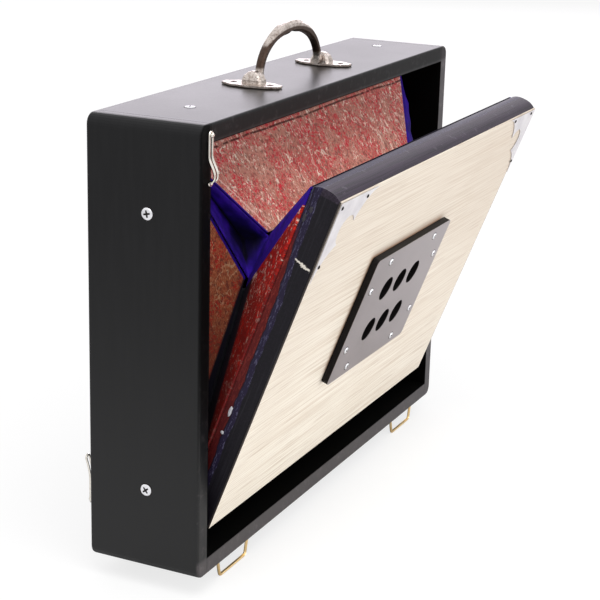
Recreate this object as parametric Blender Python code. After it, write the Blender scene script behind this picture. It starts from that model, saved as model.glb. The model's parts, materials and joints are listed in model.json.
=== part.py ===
# Shruti box: a hand-pumped drone instrument with free reeds, in a shallow upright case.
# Metres, +Z up, +X to the right as seen from the pump side, which faces -Y.
# The origin is the centre of the case's underside. The pump board leans open at rest.

import math

import bmesh
import bpy
from mathutils import Matrix, Vector, geometry

# Clearance between pieces that touch, and how far a cutter runs past the face it cuts
GAP = 0.0003
OVERSHOOT = 0.002

# Case
CASE_WIDTH = 0.410
CASE_HEIGHT = 0.300
CASE_DEPTH = 0.082
CASE_WALL = 0.012
CASE_CORNER = 0.007
CASE_RIM_ROUND = 0.0015

# Wire feet
FOOT_DROP = 0.0135
FOOT_WIRE = 0.0011
FOOT_SPAN_TOP = 0.043
FOOT_SPAN_LOW = 0.0365
FOOT_FROM_END = 0.0555
FOOT_FROM_RIM = 0.004
FOOT_SOCKET_DEPTH = 0.008
FOOT_BEND = 0.0022

# Carrying handle
HANDLE_SPAN = 0.1155
HANDLE_ASIDE = -0.003
HANDLE_PLATE_LENGTH = 0.044
HANDLE_PLATE_WIDTH = 0.020
HANDLE_PLATE_THICK = 0.0016
HANDLE_PLATE_RIPPLE = 0.035
HANDLE_PLATE_SCALLOPS = 10
HANDLE_SCREW_SPREAD = 0.028
HANDLE_SCREW_HOLE = 0.0016
BOSS_WIDTH = 0.011
BOSS_LENGTH = 0.0155
BOSS_HEIGHT = 0.0098
BOSS_OFFSET = -0.0030
BOSS_CHAMFER = 0.3
BOSS_FORM = ((0, 1, 1), (0.35, 0.98, 0.95), (0.7, 0.84, 0.74), (0.92, 0.6, 0.44), (1, 0.3, 0.16))
BAIL_RISE = 0.0296
BAIL_AXIS_HEIGHT = 0.0052
BAIL_PIVOT = 0.0017
BAIL_PIVOT_DEPTH = 0.0080
BAIL_EYE = 0.0031
BAIL_LEG_THICK = 0.0042
BAIL_LEG_WIDTH = 0.0056
BAIL_GRIP_THICK = 0.0080
BAIL_GRIP_WIDTH = 0.0070
GRIP_NOTCH = 0.0011
GRIP_NOTCH_SPREAD = 0.07
GRIP_SWELL = 0.0008
GRIP_SWELL_AT = 0.17
GRIP_SWELL_SPREAD = 0.06

# Wire latches
LATCH_LENGTH = 0.034
LATCH_WIRE = 0.0008
LATCH_PIN = 0.0008
LATCH_PIN_DEPTH = 0.010
LATCH_HEAD = 0.0017
LATCH_DOME = 0.0009
LATCH_HEAD_THICK = 0.0010
LATCH_FROM_SIDE = 0.0095
LATCH_FROM_TOP = 0.0065
LATCH_BULGE = 0.0040
LATCH_BULGE_START = 0.44
LATCH_HOOK_START = 0.86
REAR_LATCH_FROM_SIDE = 0.0062
REAR_LATCH_FROM_BOTTOM = 0.038
REAR_LATCH_STAND_OFF = 0.0014
REAR_LATCH_LEAN = 0.003
REAR_LATCH_LEAN_START = 0.55

# Middle board, which parts the pump side from the wind chest
MIDDLE_SETBACK = 0.034
MIDDLE_THICK = 0.009
PORT_RADIUS = 0.010
PORT_PITCH = 0.036
PORT_HEIGHT = 0.110

# Pump board and its hinge
BOARD_TILT = math.radians(20.7)
BOARD_THICK = 0.019
BOARD_CROWN = 0.0028
BOARD_CROWN_POWER = 2.6
BOARD_SIDE_CLEAR = 0.008
BOARD_TOP_CLEAR = 0.0044
FACE_THICK = 0.001
HINGE_SETBACK = 0.024
HINGE_HEIGHT = 0.036
HINGE_CLEAR = 0.0016
BOARD_LIFT = 0.0006
STRIP_THICK = 0.0012
STRIP_LAP = 0.012
STRIP_BEND = 0.002
STRIP_SIDE_CLEAR = 0.004

# Inlet plate, its air holes and the leather flap behind it
PLATE_WIDTH = 0.1355
PLATE_HEIGHT = 0.101
PLATE_THICK = 0.005
PLATE_CORNER = 0.0032
PLATE_CENTRE = 0.1292
PLATE_ASIDE = -0.0088
AIR_HOLE_RADIUS = 0.0092
AIR_HOLE_PITCH = 0.0248
AIR_ROW_PITCH = 0.034
FLAP_THICK = 0.0012
FLAP_MARGIN = 0.006

# Metal corner plates
CORNER_REACH = 0.057
CORNER_TIP = (0.034, 0.020)
CORNER_ARM_HOLLOW = 0.004
CORNER_NOTCH = 0.014
CORNER_THICK = 0.0004
CORNER_INSET = 0.0008

# Pump bellows cards
CARD_THICK = 0.0016
TOP_CARD_DEPTH = 0.078
TOP_FOLD_INSET = 0.062
SIDE_FOLD_WIDTH = 0.0556
SIDE_FOLD_HEIGHT = 0.152
TOP_FOLD_GAP = 0.0026
SIDE_FOLD_GAP = 0.0030
CLOTH_THICK = 0.0007
GUSSET_TUCK = 0.0156
GUSSET_SINK = 0.0125
GUSSET_FRONT_SINK = 0.004
GUSSET_START = 0.006
GUSSET_FRONT_SHARE = 0.4

# Wind chest
CHEST_RAIL_WIDTH = 0.0137
CHEST_RAIL_DEPTH = 0.0165
TONE_CHAMBER = 0.110
DIVIDER_THICK = 0.012
AIR_SLOT_LENGTH = 0.080
AIR_SLOT_DEPTH = 0.009
AIR_SLOT_PITCH = 0.100
AIR_SLOTS = 3

# Tone panel, reeds and note stops
TONE_PANEL_THICK = 0.008
NOTES = 13
TONE_HOLE = 0.0045
TONE_DROP = 0.052
REED_PLATE_THICK = 0.003
REED_PLATE_LONG = 0.056
REED_PLATE_MARGIN = 0.012
REED_PLATE_CLEAR = 0.005
REED_LOW = 0.042
REED_HIGH = 0.026
REED_SLOT = 0.0030
TONGUE_WIDTH = 0.0024
TONGUE_THICK = 0.0004
TONGUE_ROOT = 0.004
STOP_ARM = 0.016
STOP_PAD = 0.0070
STOP_HUB = 0.0042
STOP_THICK = 0.0024
STOP_KNOB = 0.0030
STOP_KNOB_NECK = 0.0024
STOP_KNOB_TIP = 0.0021
STOP_KNOB_HEIGHT = 0.0045
STOP_KNOB_WIDEST = 0.0027

# Reservoir
RESERVOIR_THICK = 0.0115
RESERVOIR_CLEAR = 0.004
RESERVOIR_ROUND = 0.002
RESERVOIR_SETBACK = 0.0015
BELLOWS_FOLD = 0.020
BELLOWS_LAP = 0.004
BELLOWS_GLUE = 0.008
SPRING_RADIUS = 0.0045
SPRING_WIRE = 0.0006
SPRING_TURNS = 7
SPRING_LEAD = 0.002
SPRING_SPREAD = 0.150
SPRING_HEIGHT = 0.118

# Planes and lengths that follow from the sizes above
INNER_HALF = CASE_WIDTH / 2 - CASE_WALL
INNER_BOTTOM = CASE_WALL
INNER_TOP = CASE_HEIGHT - CASE_WALL
FRONT = -CASE_DEPTH / 2
REAR = CASE_DEPTH / 2
MIDDLE_FRONT = FRONT + MIDDLE_SETBACK
MIDDLE_REAR = MIDDLE_FRONT + MIDDLE_THICK
HINGE_Y = FRONT + HINGE_SETBACK
BOARD_HALF = INNER_HALF - BOARD_SIDE_CLEAR
BOARD_HEIGHT = INNER_TOP - BOARD_TOP_CLEAR - HINGE_HEIGHT - BOARD_LIFT
BOARD_BACK = -HINGE_CLEAR
BOARD_FACE = BOARD_BACK - BOARD_THICK
CARD_OFFSET = CARD_THICK / 2 + GAP
CARD_HALF = BOARD_HALF
CARD_TOP = BOARD_LIFT + BOARD_HEIGHT - CARD_OFFSET
CARD_BOTTOM = BOARD_LIFT + STRIP_LAP + CARD_THICK
CARD_EDGE_CLEAR = CLOTH_THICK / 2 + GAP
REAR_CARD_Y = MIDDLE_FRONT - CARD_OFFSET
FRONT_CARD_Y = BOARD_BACK + CARD_OFFSET
BAIL_HALF = HANDLE_SPAN / 2 + BOSS_OFFSET - BOSS_WIDTH / 2 - BAIL_LEG_THICK / 2 - GAP
CHEST_BACK = MIDDLE_REAR + GAP + CHEST_RAIL_DEPTH
CHEST_INNER_HALF = INNER_HALF - GAP - CHEST_RAIL_WIDTH
DIVIDER_HEIGHT = INNER_TOP - TONE_CHAMBER - DIVIDER_THICK
TONE_HEIGHT = INNER_TOP - TONE_DROP
REED_PLATE_HALF = CHEST_INNER_HALF - REED_PLATE_CLEAR
NOTE_PITCH = 2 * (REED_PLATE_HALF - REED_PLATE_MARGIN) / (NOTES - 1)
RESERVOIR_BACK = REAR - RESERVOIR_SETBACK
RESERVOIR_FRONT = RESERVOIR_BACK - RESERVOIR_THICK

# Finishes: colour, roughness, metallic
FINISHES = {
    "black_paint": ((0.035, 0.034, 0.038), 0.45, 0.0),
    "brass_wire": ((0.80, 0.58, 0.30), 0.30, 1.0),
    "old_nickel": ((0.62, 0.57, 0.48), 0.38, 1.0),
    "bright_nickel": ((0.82, 0.79, 0.74), 0.25, 1.0),
    "black_leathercloth": ((0.022, 0.020, 0.028), 0.42, 0.0),
    "cream_laminate": ((0.86, 0.77, 0.65), 0.40, 0.0),
    "white_metal": ((0.86, 0.84, 0.84), 0.30, 0.9),
    "grey_plate": ((0.32, 0.29, 0.28), 0.35, 0.6),
    "leather": ((0.42, 0.26, 0.15), 0.80, 0.0),
    "marbled_card": ((0.55, 0.20, 0.17), 0.70, 0.0),
    "blue_cloth": ((0.030, 0.010, 0.200), 0.80, 0.0),
    "black_cloth": ((0.010, 0.010, 0.018), 0.85, 0.0),
    "plain_wood": ((0.50, 0.34, 0.20), 0.65, 0.0),
    "reed_brass": ((0.75, 0.55, 0.26), 0.35, 1.0),
    "spring_steel": ((0.45, 0.45, 0.46), 0.30, 1.0),
}


def clear_scene():
    for obj in list(bpy.data.objects):
        bpy.data.objects.remove(obj, do_unlink=True)


def finish_material(finish):
    material = bpy.data.materials.get(finish)
    if material:
        return material
    colour, roughness, metallic = FINISHES[finish]
    material = bpy.data.materials.new(finish)
    material.use_nodes = True
    shader = material.node_tree.nodes["Principled BSDF"]
    shader.inputs["Base Color"].default_value = (*colour, 1)
    shader.inputs["Roughness"].default_value = roughness
    shader.inputs["Metallic"].default_value = metallic
    material.diffuse_color = (*colour, 1)
    return material


def axis_empty(name, frame, parent=None):
    """An empty on a joint's axis. The moving pieces are its children."""
    empty = bpy.data.objects.new(name, None)
    empty.empty_display_size = 0.02
    empty.parent = parent
    empty.matrix_basis = frame
    bpy.context.scene.collection.objects.link(empty)
    return empty


def piece(name, bm, finish, parent=None, smooth=30):
    """Makes an object from a bmesh, in its parent's frame."""
    bmesh.ops.remove_doubles(bm, verts=bm.verts, dist=1e-6)
    bmesh.ops.recalc_face_normals(bm, faces=bm.faces)
    mesh = bpy.data.meshes.new(name)
    bm.to_mesh(mesh)
    bm.free()
    mesh.materials.append(finish_material(finish))
    mesh.shade_smooth()
    mesh.set_sharp_from_angle(angle=math.radians(smooth))
    obj = bpy.data.objects.new(name, mesh)
    obj.parent = parent
    bpy.context.scene.collection.objects.link(obj)
    return obj


def tool(name, bm, parent=None):
    """A cutter or an added form for a Boolean, left out of the render."""
    obj = piece(name, bm, "plain_wood", parent)
    obj.hide_render = True
    obj.display_type = "WIRE"
    return obj


def boolean(obj, other, operation):
    modifier = obj.modifiers.new(operation.lower(), "BOOLEAN")
    modifier.operation = operation
    modifier.object = other
    modifier.solver = "EXACT"


def add_box(bm, low, high):
    """A box between two corners."""
    size = Vector(high) - Vector(low)
    centre = (Vector(high) + Vector(low)) / 2
    matrix = Matrix.Translation(centre) @ Matrix.Diagonal((*size, 1))
    bmesh.ops.create_cube(bm, size=1, matrix=matrix)


def round_edges(bm, chosen, radius, segments=3):
    """Rounds the edges for which chosen(a, b) holds, a and b being the edge's ends."""
    edges = [e for e in bm.edges if chosen(e.verts[0].co, e.verts[1].co)]
    bmesh.ops.bevel(
        bm, geom=edges, offset=radius, segments=segments, affect="EDGES", profile=0.5
    )


def add_turned(bm, centre, axis, profile, sides=16):
    """A turned body about an axis through centre. The profile holds (distance, radius) pairs."""
    axis = Vector(axis).normalized()
    turn = axis.to_track_quat("Z", "Y").to_matrix()
    rings = []
    for distance, radius in profile:
        ring = []
        for i in range(sides):
            angle = math.tau * i / sides
            point = Vector((radius * math.cos(angle), radius * math.sin(angle), distance))
            ring.append(Vector(centre) + turn @ point)
        rings.append(ring)
    add_rings(bm, rings)


def add_cylinder(bm, centre, axis, radius, length, sides=16):
    """A cylinder about an axis, starting at centre and running along it."""
    add_turned(bm, centre, axis, ((0, radius), (length, radius)), sides)


def add_prism(bm, outline, start, end):
    """Joins an outline of 3D points, moved to start and to end, into a closed prism."""
    first = [bm.verts.new(Vector(p) + Vector(start)) for p in outline]
    last = [bm.verts.new(Vector(p) + Vector(end)) for p in outline]
    count = len(outline)
    bm.faces.new(first[::-1])
    bm.faces.new(last)
    for i in range(count):
        j = (i + 1) % count
        bm.faces.new((first[i], first[j], last[j], last[i]))


def add_rings(bm, rings):
    """Bridges a list of rings with equal counts into a closed body."""
    loops = [[bm.verts.new(p) for p in ring] for ring in rings]
    count = len(loops[0])
    bm.faces.new(loops[0][::-1])
    bm.faces.new(loops[-1])
    for near, far in zip(loops, loops[1:]):
        for i in range(count):
            j = (i + 1) % count
            bm.faces.new((near[i], near[j], far[j], far[i]))


def wire(name, points, radius, finish, parent=None, cyclic=False, roundness=2):
    """A bent wire: a curve with a round bevel and filled caps."""
    curve = bpy.data.curves.new(name, "CURVE")
    curve.dimensions = "3D"
    curve.bevel_depth = radius
    curve.bevel_resolution = roundness
    curve.use_fill_caps = not cyclic
    spline = curve.splines.new("POLY")
    spline.points.add(len(points) - 1)
    for target, point in zip(spline.points, points):
        target.co = (*point, 1)
    spline.use_cyclic_u = cyclic
    curve.materials.append(finish_material(finish))
    obj = bpy.data.objects.new(name, curve)
    obj.parent = parent
    bpy.context.scene.collection.objects.link(obj)
    return obj


def sheet(name, corners, faces, thickness, finish, parent=None):
    """A thin sheet of cloth or leather: faces over corner points, made solid both ways."""
    bm = bmesh.new()
    verts = [bm.verts.new(c) for c in corners]
    for face in faces:
        bm.faces.new([verts[i] for i in face])
    obj = piece(name, bm, finish, parent)
    solid = obj.modifiers.new("thickness", "SOLIDIFY")
    solid.thickness = thickness
    solid.offset = 0
    solid.use_even_offset = True


def case_side(name, side):
    """A side wall at full height: its long outer corners well rounded, its rims a little."""
    inner = side * INNER_HALF
    outer = side * CASE_WIDTH / 2
    bm = bmesh.new()
    add_box(bm, (min(inner, outer), FRONT, 0), (max(inner, outer), REAR, CASE_HEIGHT))

    def long_corner(a, b):
        return abs(a.x - outer) + abs(b.x - outer) < 1e-6 and abs(a.z - b.z) < 1e-6

    def rim(a, b):
        return abs(a.y - b.y) < 1e-6 and abs(a.x - inner) + abs(b.x - inner) > 1e-6

    round_edges(bm, long_corner, CASE_CORNER, 6)
    round_edges(bm, rim, CASE_RIM_ROUND)
    piece(name, bm, "black_paint")


def case_end(name, inner, outer, sockets=()):
    """The top or bottom wall, between the side walls, with sockets for the wire feet."""
    half = INNER_HALF - GAP
    bm = bmesh.new()
    add_box(bm, (-half, FRONT, min(inner, outer)), (half, REAR, max(inner, outer)))

    def along_x(a, b):
        return abs(a.z - outer) + abs(b.z - outer) < 1e-6 and abs(a.y - b.y) < 1e-6

    round_edges(bm, along_x, CASE_RIM_ROUND)
    obj = piece(name, bm, "black_paint")
    if sockets:
        holes = bmesh.new()
        for x, y in sockets:
            mouth = (x, y, -OVERSHOOT)
            depth = FOOT_SOCKET_DEPTH + OVERSHOOT
            add_cylinder(holes, mouth, (0, 0, 1), FOOT_WIRE + GAP, depth, 12)
        boolean(obj, tool(name + "_sockets", holes), "DIFFERENCE")


def foot_places():
    """The centre of each wire foot, as (name, x, y)."""
    x = CASE_WIDTH / 2 - FOOT_FROM_END
    y = CASE_DEPTH / 2 - FOOT_FROM_RIM
    return [
        ("wire_foot_front_left", -x, -y),
        ("wire_foot_front_right", x, -y),
        ("wire_foot_rear_left", -x, y),
        ("wire_foot_rear_right", x, y),
    ]


def bent(corners, radius, steps=4):
    """Points along straight runs whose corners are rounded by arcs of about this radius."""
    path = [Vector(corners[0])]
    for before, corner, after in zip(corners, corners[1:], corners[2:]):
        corner = Vector(corner)
        enter = corner + (Vector(before) - corner).normalized() * radius
        leave = corner + (Vector(after) - corner).normalized() * radius
        for i in range(steps + 1):
            t = i / steps
            path.append(enter * (1 - t) ** 2 + corner * (2 * t * (1 - t)) + leave * t**2)
    path.append(Vector(corners[-1]))
    return path


def wire_foot(name, x, y):
    """A brass wire loop under the case, its two legs let into the bottom wall."""
    top = FOOT_SOCKET_DEPTH - GAP
    low = FOOT_WIRE - FOOT_DROP
    wide = FOOT_SPAN_TOP / 2
    narrow = FOOT_SPAN_LOW / 2
    corners = [
        (x - wide, y, top),
        (x - wide, y, 0.0),
        (x - narrow, y, low),
        (x + narrow, y, low),
        (x + wide, y, 0.0),
        (x + wide, y, top),
    ]
    wire(name, bent(corners, FOOT_BEND), FOOT_WIRE, "brass_wire")


def build_case():
    case_side("case_left", -1)
    case_side("case_right", 1)
    case_end("case_top", INNER_TOP, CASE_HEIGHT)
    half_span = FOOT_SPAN_TOP / 2
    sockets = [(x + s * half_span, y) for _, x, y in foot_places() for s in (-1, 1)]
    case_end("case_bottom", INNER_BOTTOM, 0.0, sockets)
    for place in foot_places():
        wire_foot(*place)


def handle_base(name, side):
    """A cast base: a scalloped oval plate with a faceted boss, bored for the bail's pivot."""
    centre = Vector((HANDLE_ASIDE + side * HANDLE_SPAN / 2, 0, CASE_HEIGHT + GAP))
    half_length = HANDLE_PLATE_LENGTH / 2
    half_width = HANDLE_PLATE_WIDTH / 2
    outline = []
    steps = 4 * HANDLE_PLATE_SCALLOPS
    for i in range(steps):
        turn = math.tau * i / steps
        ripple = 1 + HANDLE_PLATE_RIPPLE * math.cos(HANDLE_PLATE_SCALLOPS * turn)
        outline.append(
            (half_width * ripple * math.cos(turn), half_length * ripple * math.sin(turn), 0)
        )
    bm = bmesh.new()
    add_prism(bm, outline, centre, centre + Vector((0, 0, HANDLE_PLATE_THICK)))
    base = piece(name, bm, "old_nickel")

    boss = bmesh.new()
    middle = centre + Vector((side * BOSS_OFFSET, 0, HANDLE_PLATE_THICK / 2))
    rise = BOSS_HEIGHT - HANDLE_PLATE_THICK / 2
    rings = []
    for height, width, length in BOSS_FORM:
        half = Vector((BOSS_WIDTH / 2 * width, BOSS_LENGTH / 2 * length, 0))
        cut = BOSS_CHAMFER * min(half.x, half.y)
        corners = [
            (half.x, -half.y + cut),
            (half.x, half.y - cut),
            (half.x - cut, half.y),
            (-half.x + cut, half.y),
            (-half.x, half.y - cut),
            (-half.x, -half.y + cut),
            (-half.x + cut, -half.y),
            (half.x - cut, -half.y),
        ]
        rings.append([middle + Vector((x, y, rise * height)) for x, y in corners])
    add_rings(boss, rings)
    boolean(base, tool(name + "_boss", boss), "UNION")

    bores = bmesh.new()
    for end in (-1, 1):
        place = centre + Vector((0, end * HANDLE_SCREW_SPREAD / 2, -OVERSHOOT))
        depth = HANDLE_PLATE_THICK + 2 * OVERSHOOT
        add_cylinder(bores, place, (0, 0, 1), HANDLE_SCREW_HOLE, depth, 12)
    reach = side * (BAIL_HALF + BAIL_LEG_THICK / 2)
    pivot = Vector((HANDLE_ASIDE + reach, 0, CASE_HEIGHT + BAIL_AXIS_HEIGHT))
    add_cylinder(bores, pivot, (side, 0, 0), BAIL_PIVOT + GAP, BAIL_PIVOT_DEPTH, 16)
    boolean(base, tool(name + "_bores", bores), "DIFFERENCE")


def handle_bail(parent):
    """The cast grip: half an ellipse between the bosses, thick in the middle, with a notch."""
    steps = 28
    rings = []
    for i in range(steps + 1):
        turn = math.pi * i / steps
        x = -BAIL_HALF * math.cos(turn)
        z = BAIL_RISE * math.sin(turn)
        share = math.sin(turn) ** 3
        thick = BAIL_LEG_THICK + (BAIL_GRIP_THICK - BAIL_LEG_THICK) * share
        width = BAIL_LEG_WIDTH + (BAIL_GRIP_WIDTH - BAIL_LEG_WIDTH) * share
        out = Vector((-BAIL_RISE * math.cos(turn), 0, BAIL_HALF * math.sin(turn))).normalized()
        from_top = abs(turn - math.pi / 2)
        notch = GRIP_NOTCH * math.exp(-((from_top / GRIP_NOTCH_SPREAD) ** 2))
        notch -= GRIP_SWELL * math.exp(-(((from_top - GRIP_SWELL_AT) / GRIP_SWELL_SPREAD) ** 2))
        ring = []
        for across, outward in (
            (0.5, -0.3), (0.5, 0.25), (0.28, 0.5), (-0.28, 0.5),
            (-0.5, 0.25), (-0.5, -0.3), (-0.3, -0.5), (0.3, -0.5),
        ):
            reach = outward * thick + (notch if outward < -0.4 else 0)
            ring.append(Vector((x, across * width, z)) + out * reach)
        rings.append(ring)
    bm = bmesh.new()
    add_rings(bm, rings)
    bail = piece("handle_bail", bm, "old_nickel", parent)
    eyes = bmesh.new()
    for side in (-1, 1):
        foot = Vector((side * (BAIL_HALF - BAIL_LEG_THICK / 2), 0, 0))
        shoulder = BAIL_LEG_THICK
        reach = shoulder + BAIL_PIVOT_DEPTH - GAP
        profile = (
            (0, BAIL_EYE),
            (shoulder, BAIL_EYE),
            (shoulder, BAIL_PIVOT),
            (reach, BAIL_PIVOT),
        )
        add_turned(eyes, foot, (side, 0, 0), profile)
    boolean(bail, tool("handle_bail_eyes", eyes, parent), "UNION")


def build_handle():
    handle_base("handle_base_left", -1)
    handle_base("handle_base_right", 1)
    place = Matrix.Translation((HANDLE_ASIDE, 0, CASE_HEIGHT + BAIL_AXIS_HEIGHT))
    handle_bail(axis_empty("handle_axis", place))


def latch_wire(name, parent, profile):
    """A hairpin of wire round its pin. profile(s) gives the stand-off at share s of its length."""
    half = LATCH_PIN + LATCH_WIRE + GAP
    straight = LATCH_LENGTH - 2 * half - LATCH_WIRE
    bend_steps = 8
    leg_steps = 22
    points = []
    for i in range(bend_steps + 1):
        turn = math.pi * i / bend_steps
        points.append((-half * math.cos(turn), profile(0), half * math.sin(turn)))
    for i in range(1, leg_steps + 1):
        share = i / leg_steps
        points.append((half, profile(share), -straight * share))
    for i in range(1, bend_steps):
        turn = math.pi * i / bend_steps
        points.append((half * math.cos(turn), profile(1), -straight - half * math.sin(turn)))
    for i in range(leg_steps, 0, -1):
        share = i / leg_steps
        points.append((-half, profile(share), -straight * share))
    wire(name, points, LATCH_WIRE, "bright_nickel", parent, cyclic=True, roundness=1)


def latch_pin(name, parent, stand_off):
    """The round-headed pin a latch turns on, let into the case. It runs along +Y in its frame."""
    bm = bmesh.new()
    head = -(stand_off + 2 * LATCH_WIRE + GAP)
    dome = head - LATCH_HEAD_THICK
    profile = (
        (dome, LATCH_DOME),
        (head, LATCH_HEAD),
        (head, LATCH_PIN),
        (LATCH_PIN_DEPTH, LATCH_PIN),
    )
    add_turned(bm, (0, 0, 0), (0, 1, 0), profile)
    piece(name, bm, "bright_nickel", parent)


def pin_hole(wall_name, parent):
    bm = bmesh.new()
    depth = OVERSHOOT + LATCH_PIN_DEPTH + GAP
    add_cylinder(bm, (0, -OVERSHOOT, 0), (0, 1, 0), LATCH_PIN + GAP, depth)
    hole = tool(wall_name + "_pin_hole", bm, parent)
    boolean(bpy.data.objects[wall_name], hole, "DIFFERENCE")


def build_latches():
    """One latch hangs at the top left of the front; the other stands up at the lower left rear."""
    place = Vector((LATCH_FROM_SIDE - CASE_WIDTH / 2, FRONT, CASE_HEIGHT - LATCH_FROM_TOP))
    front = axis_empty("front_latch_axis", Matrix.Translation(place))
    surface = GAP + LATCH_WIRE

    def front_profile(share):
        """Straight, then bowed out, and hooked back to the case at its lower end."""
        bow = max(share - LATCH_BULGE_START, 0) / (LATCH_HOOK_START - LATCH_BULGE_START)
        hook = max(share - LATCH_HOOK_START, 0) / (1 - LATCH_HOOK_START)
        stand_off = math.sin(math.pi / 2 * min(bow, 1)) ** 2 * math.sqrt(1 - hook**2)
        return -surface - LATCH_BULGE * stand_off

    latch_wire("front_latch", front, front_profile)
    latch_pin("front_latch_pin", front, GAP)
    pin_hole("case_left", front)

    place = Vector((REAR_LATCH_FROM_SIDE - CASE_WIDTH / 2, REAR, REAR_LATCH_FROM_BOTTOM))
    turned = Matrix.Translation(place) @ Matrix.Rotation(math.pi, 4, "X")
    rear = axis_empty("rear_latch_axis", turned)

    def rear_profile(share):
        lean = max(share - REAR_LATCH_LEAN_START, 0) / (1 - REAR_LATCH_LEAN_START)
        return -surface - REAR_LATCH_STAND_OFF - REAR_LATCH_LEAN * lean**1.5

    latch_wire("rear_latch", rear, rear_profile)
    latch_pin("rear_latch_pin", rear, GAP + REAR_LATCH_STAND_OFF)
    pin_hole("case_left", rear)


def board(name, low, high, finish, parent=None):
    bm = bmesh.new()
    add_box(bm, low, high)
    return piece(name, bm, finish, parent)


def build_middle():
    """The middle board with its air ports, the rail below the pump board and the outlet flap."""
    half = INNER_HALF - GAP
    low = (-half, MIDDLE_FRONT, INNER_BOTTOM + GAP)
    high = (half, MIDDLE_REAR, INNER_TOP - GAP)
    middle = board("middle_board", low, high, "plain_wood")
    ports = bmesh.new()
    for i in (-1, 0, 1):
        centre = (i * PORT_PITCH, MIDDLE_FRONT - OVERSHOOT, PORT_HEIGHT)
        add_cylinder(ports, centre, (0, 1, 0), PORT_RADIUS, MIDDLE_THICK + 2 * OVERSHOOT, 24)
    boolean(middle, tool("middle_board_ports", ports), "DIFFERENCE")

    rail_front = HINGE_Y + GAP + STRIP_THICK / 2
    low = (-BOARD_HALF, rail_front, INNER_BOTTOM + GAP)
    high = (BOARD_HALF, MIDDLE_FRONT - GAP, HINGE_HEIGHT - BOARD_LIFT)
    board("hinge_rail", low, high, "black_paint")

    reach = PORT_PITCH + PORT_RADIUS + FLAP_MARGIN
    top = PORT_HEIGHT + PORT_RADIUS + 2 * FLAP_MARGIN
    axis = axis_empty("outlet_flap_axis", Matrix.Translation((0, MIDDLE_REAR + GAP, top)))
    depth = 2 * PORT_RADIUS + 3 * FLAP_MARGIN
    board("outlet_flap", (-reach, 0, -depth), (reach, FLAP_THICK, 0), "leather", axis)


def pump_frame():
    """The pump board's frame at rest: its origin on the hinge axis, leaning out by the tilt."""
    return Matrix.Translation((0, HINGE_Y, HINGE_HEIGHT)) @ Matrix.Rotation(BOARD_TILT, 4, "X")


def air_hole_cutter(name, parent, front, back):
    """Cuts the air holes through a sheet of the pump board between these two faces."""
    start = front - OVERSHOOT
    length = back - front + 2 * OVERSHOOT
    bm = bmesh.new()
    for row in (-0.5, 0.5):
        for column in (-1, 0, 1):
            x = PLATE_ASIDE + column * AIR_HOLE_PITCH
            centre = (x, start, PLATE_CENTRE + row * AIR_ROW_PITCH)
            add_cylinder(bm, centre, (0, 1, 0), AIR_HOLE_RADIUS, length, 24)
    return tool(name, bm, parent)


def pump_board(parent):
    """The covered board: padded round along its top, with the air holes right through."""
    top = BOARD_LIFT + BOARD_HEIGHT
    outline = [(0, BOARD_BACK, BOARD_LIFT), (0, BOARD_FACE, BOARD_LIFT)]
    steps = 12
    for i in range(steps + 1):
        share = i / steps
        rise = BOARD_CROWN * (1 - abs(2 * share - 1) ** BOARD_CROWN_POWER)
        outline.append((0, BOARD_FACE + share * BOARD_THICK, top + rise))
    bm = bmesh.new()
    add_prism(bm, outline, (-BOARD_HALF, 0, 0), (BOARD_HALF, 0, 0))
    obj = piece("pump_board", bm, "black_leathercloth", parent)
    holes = air_hole_cutter("pump_board_holes", parent, BOARD_FACE, BOARD_BACK)
    boolean(obj, holes, "DIFFERENCE")


def face_panel(parent):
    back = BOARD_FACE - GAP
    low = (-BOARD_HALF, back - FACE_THICK, BOARD_LIFT)
    high = (BOARD_HALF, back, BOARD_LIFT + BOARD_HEIGHT)
    obj = board("face_panel", low, high, "cream_laminate", parent)
    holes = air_hole_cutter("face_panel_holes", parent, back - FACE_THICK, back)
    boolean(obj, holes, "DIFFERENCE")


def face_front():
    return BOARD_FACE - GAP - FACE_THICK


def inlet_plate(parent):
    """The metal plate over the air holes, its corners rounded."""
    back = face_front() - GAP
    left, right = PLATE_ASIDE - PLATE_WIDTH / 2, PLATE_ASIDE + PLATE_WIDTH / 2
    low = (left, back - PLATE_THICK, PLATE_CENTRE - PLATE_HEIGHT / 2)
    high = (right, back, PLATE_CENTRE + PLATE_HEIGHT / 2)
    bm = bmesh.new()
    add_box(bm, low, high)
    round_edges(bm, lambda a, b: abs(a.y - b.y) > 1e-4, PLATE_CORNER, 4)
    obj = piece("inlet_plate", bm, "grey_plate", parent)
    holes = air_hole_cutter("inlet_plate_holes", parent, back - PLATE_THICK, back)
    boolean(obj, holes, "DIFFERENCE")


def arc(start, middle, end, steps=8):
    """Points along the circle through three flat points, from start to end."""
    start, middle, end = Vector(start), Vector(middle), Vector(end)
    one, two = middle - start, end - start
    twice = 2 * (one.x * two.y - one.y * two.x)
    centre = start + Vector(
        (
            two.y * one.length_squared - one.y * two.length_squared,
            one.x * two.length_squared - two.x * one.length_squared,
        )
    ) / twice
    sweep = 2 * (start - middle).angle_signed(end - middle)
    sweep = math.copysign(math.tau, sweep) - sweep
    points = []
    for i in range(steps + 1):
        turn = Matrix.Rotation(sweep * i / steps, 2)
        points.append(centre + turn @ (start - centre))
    return points


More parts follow.
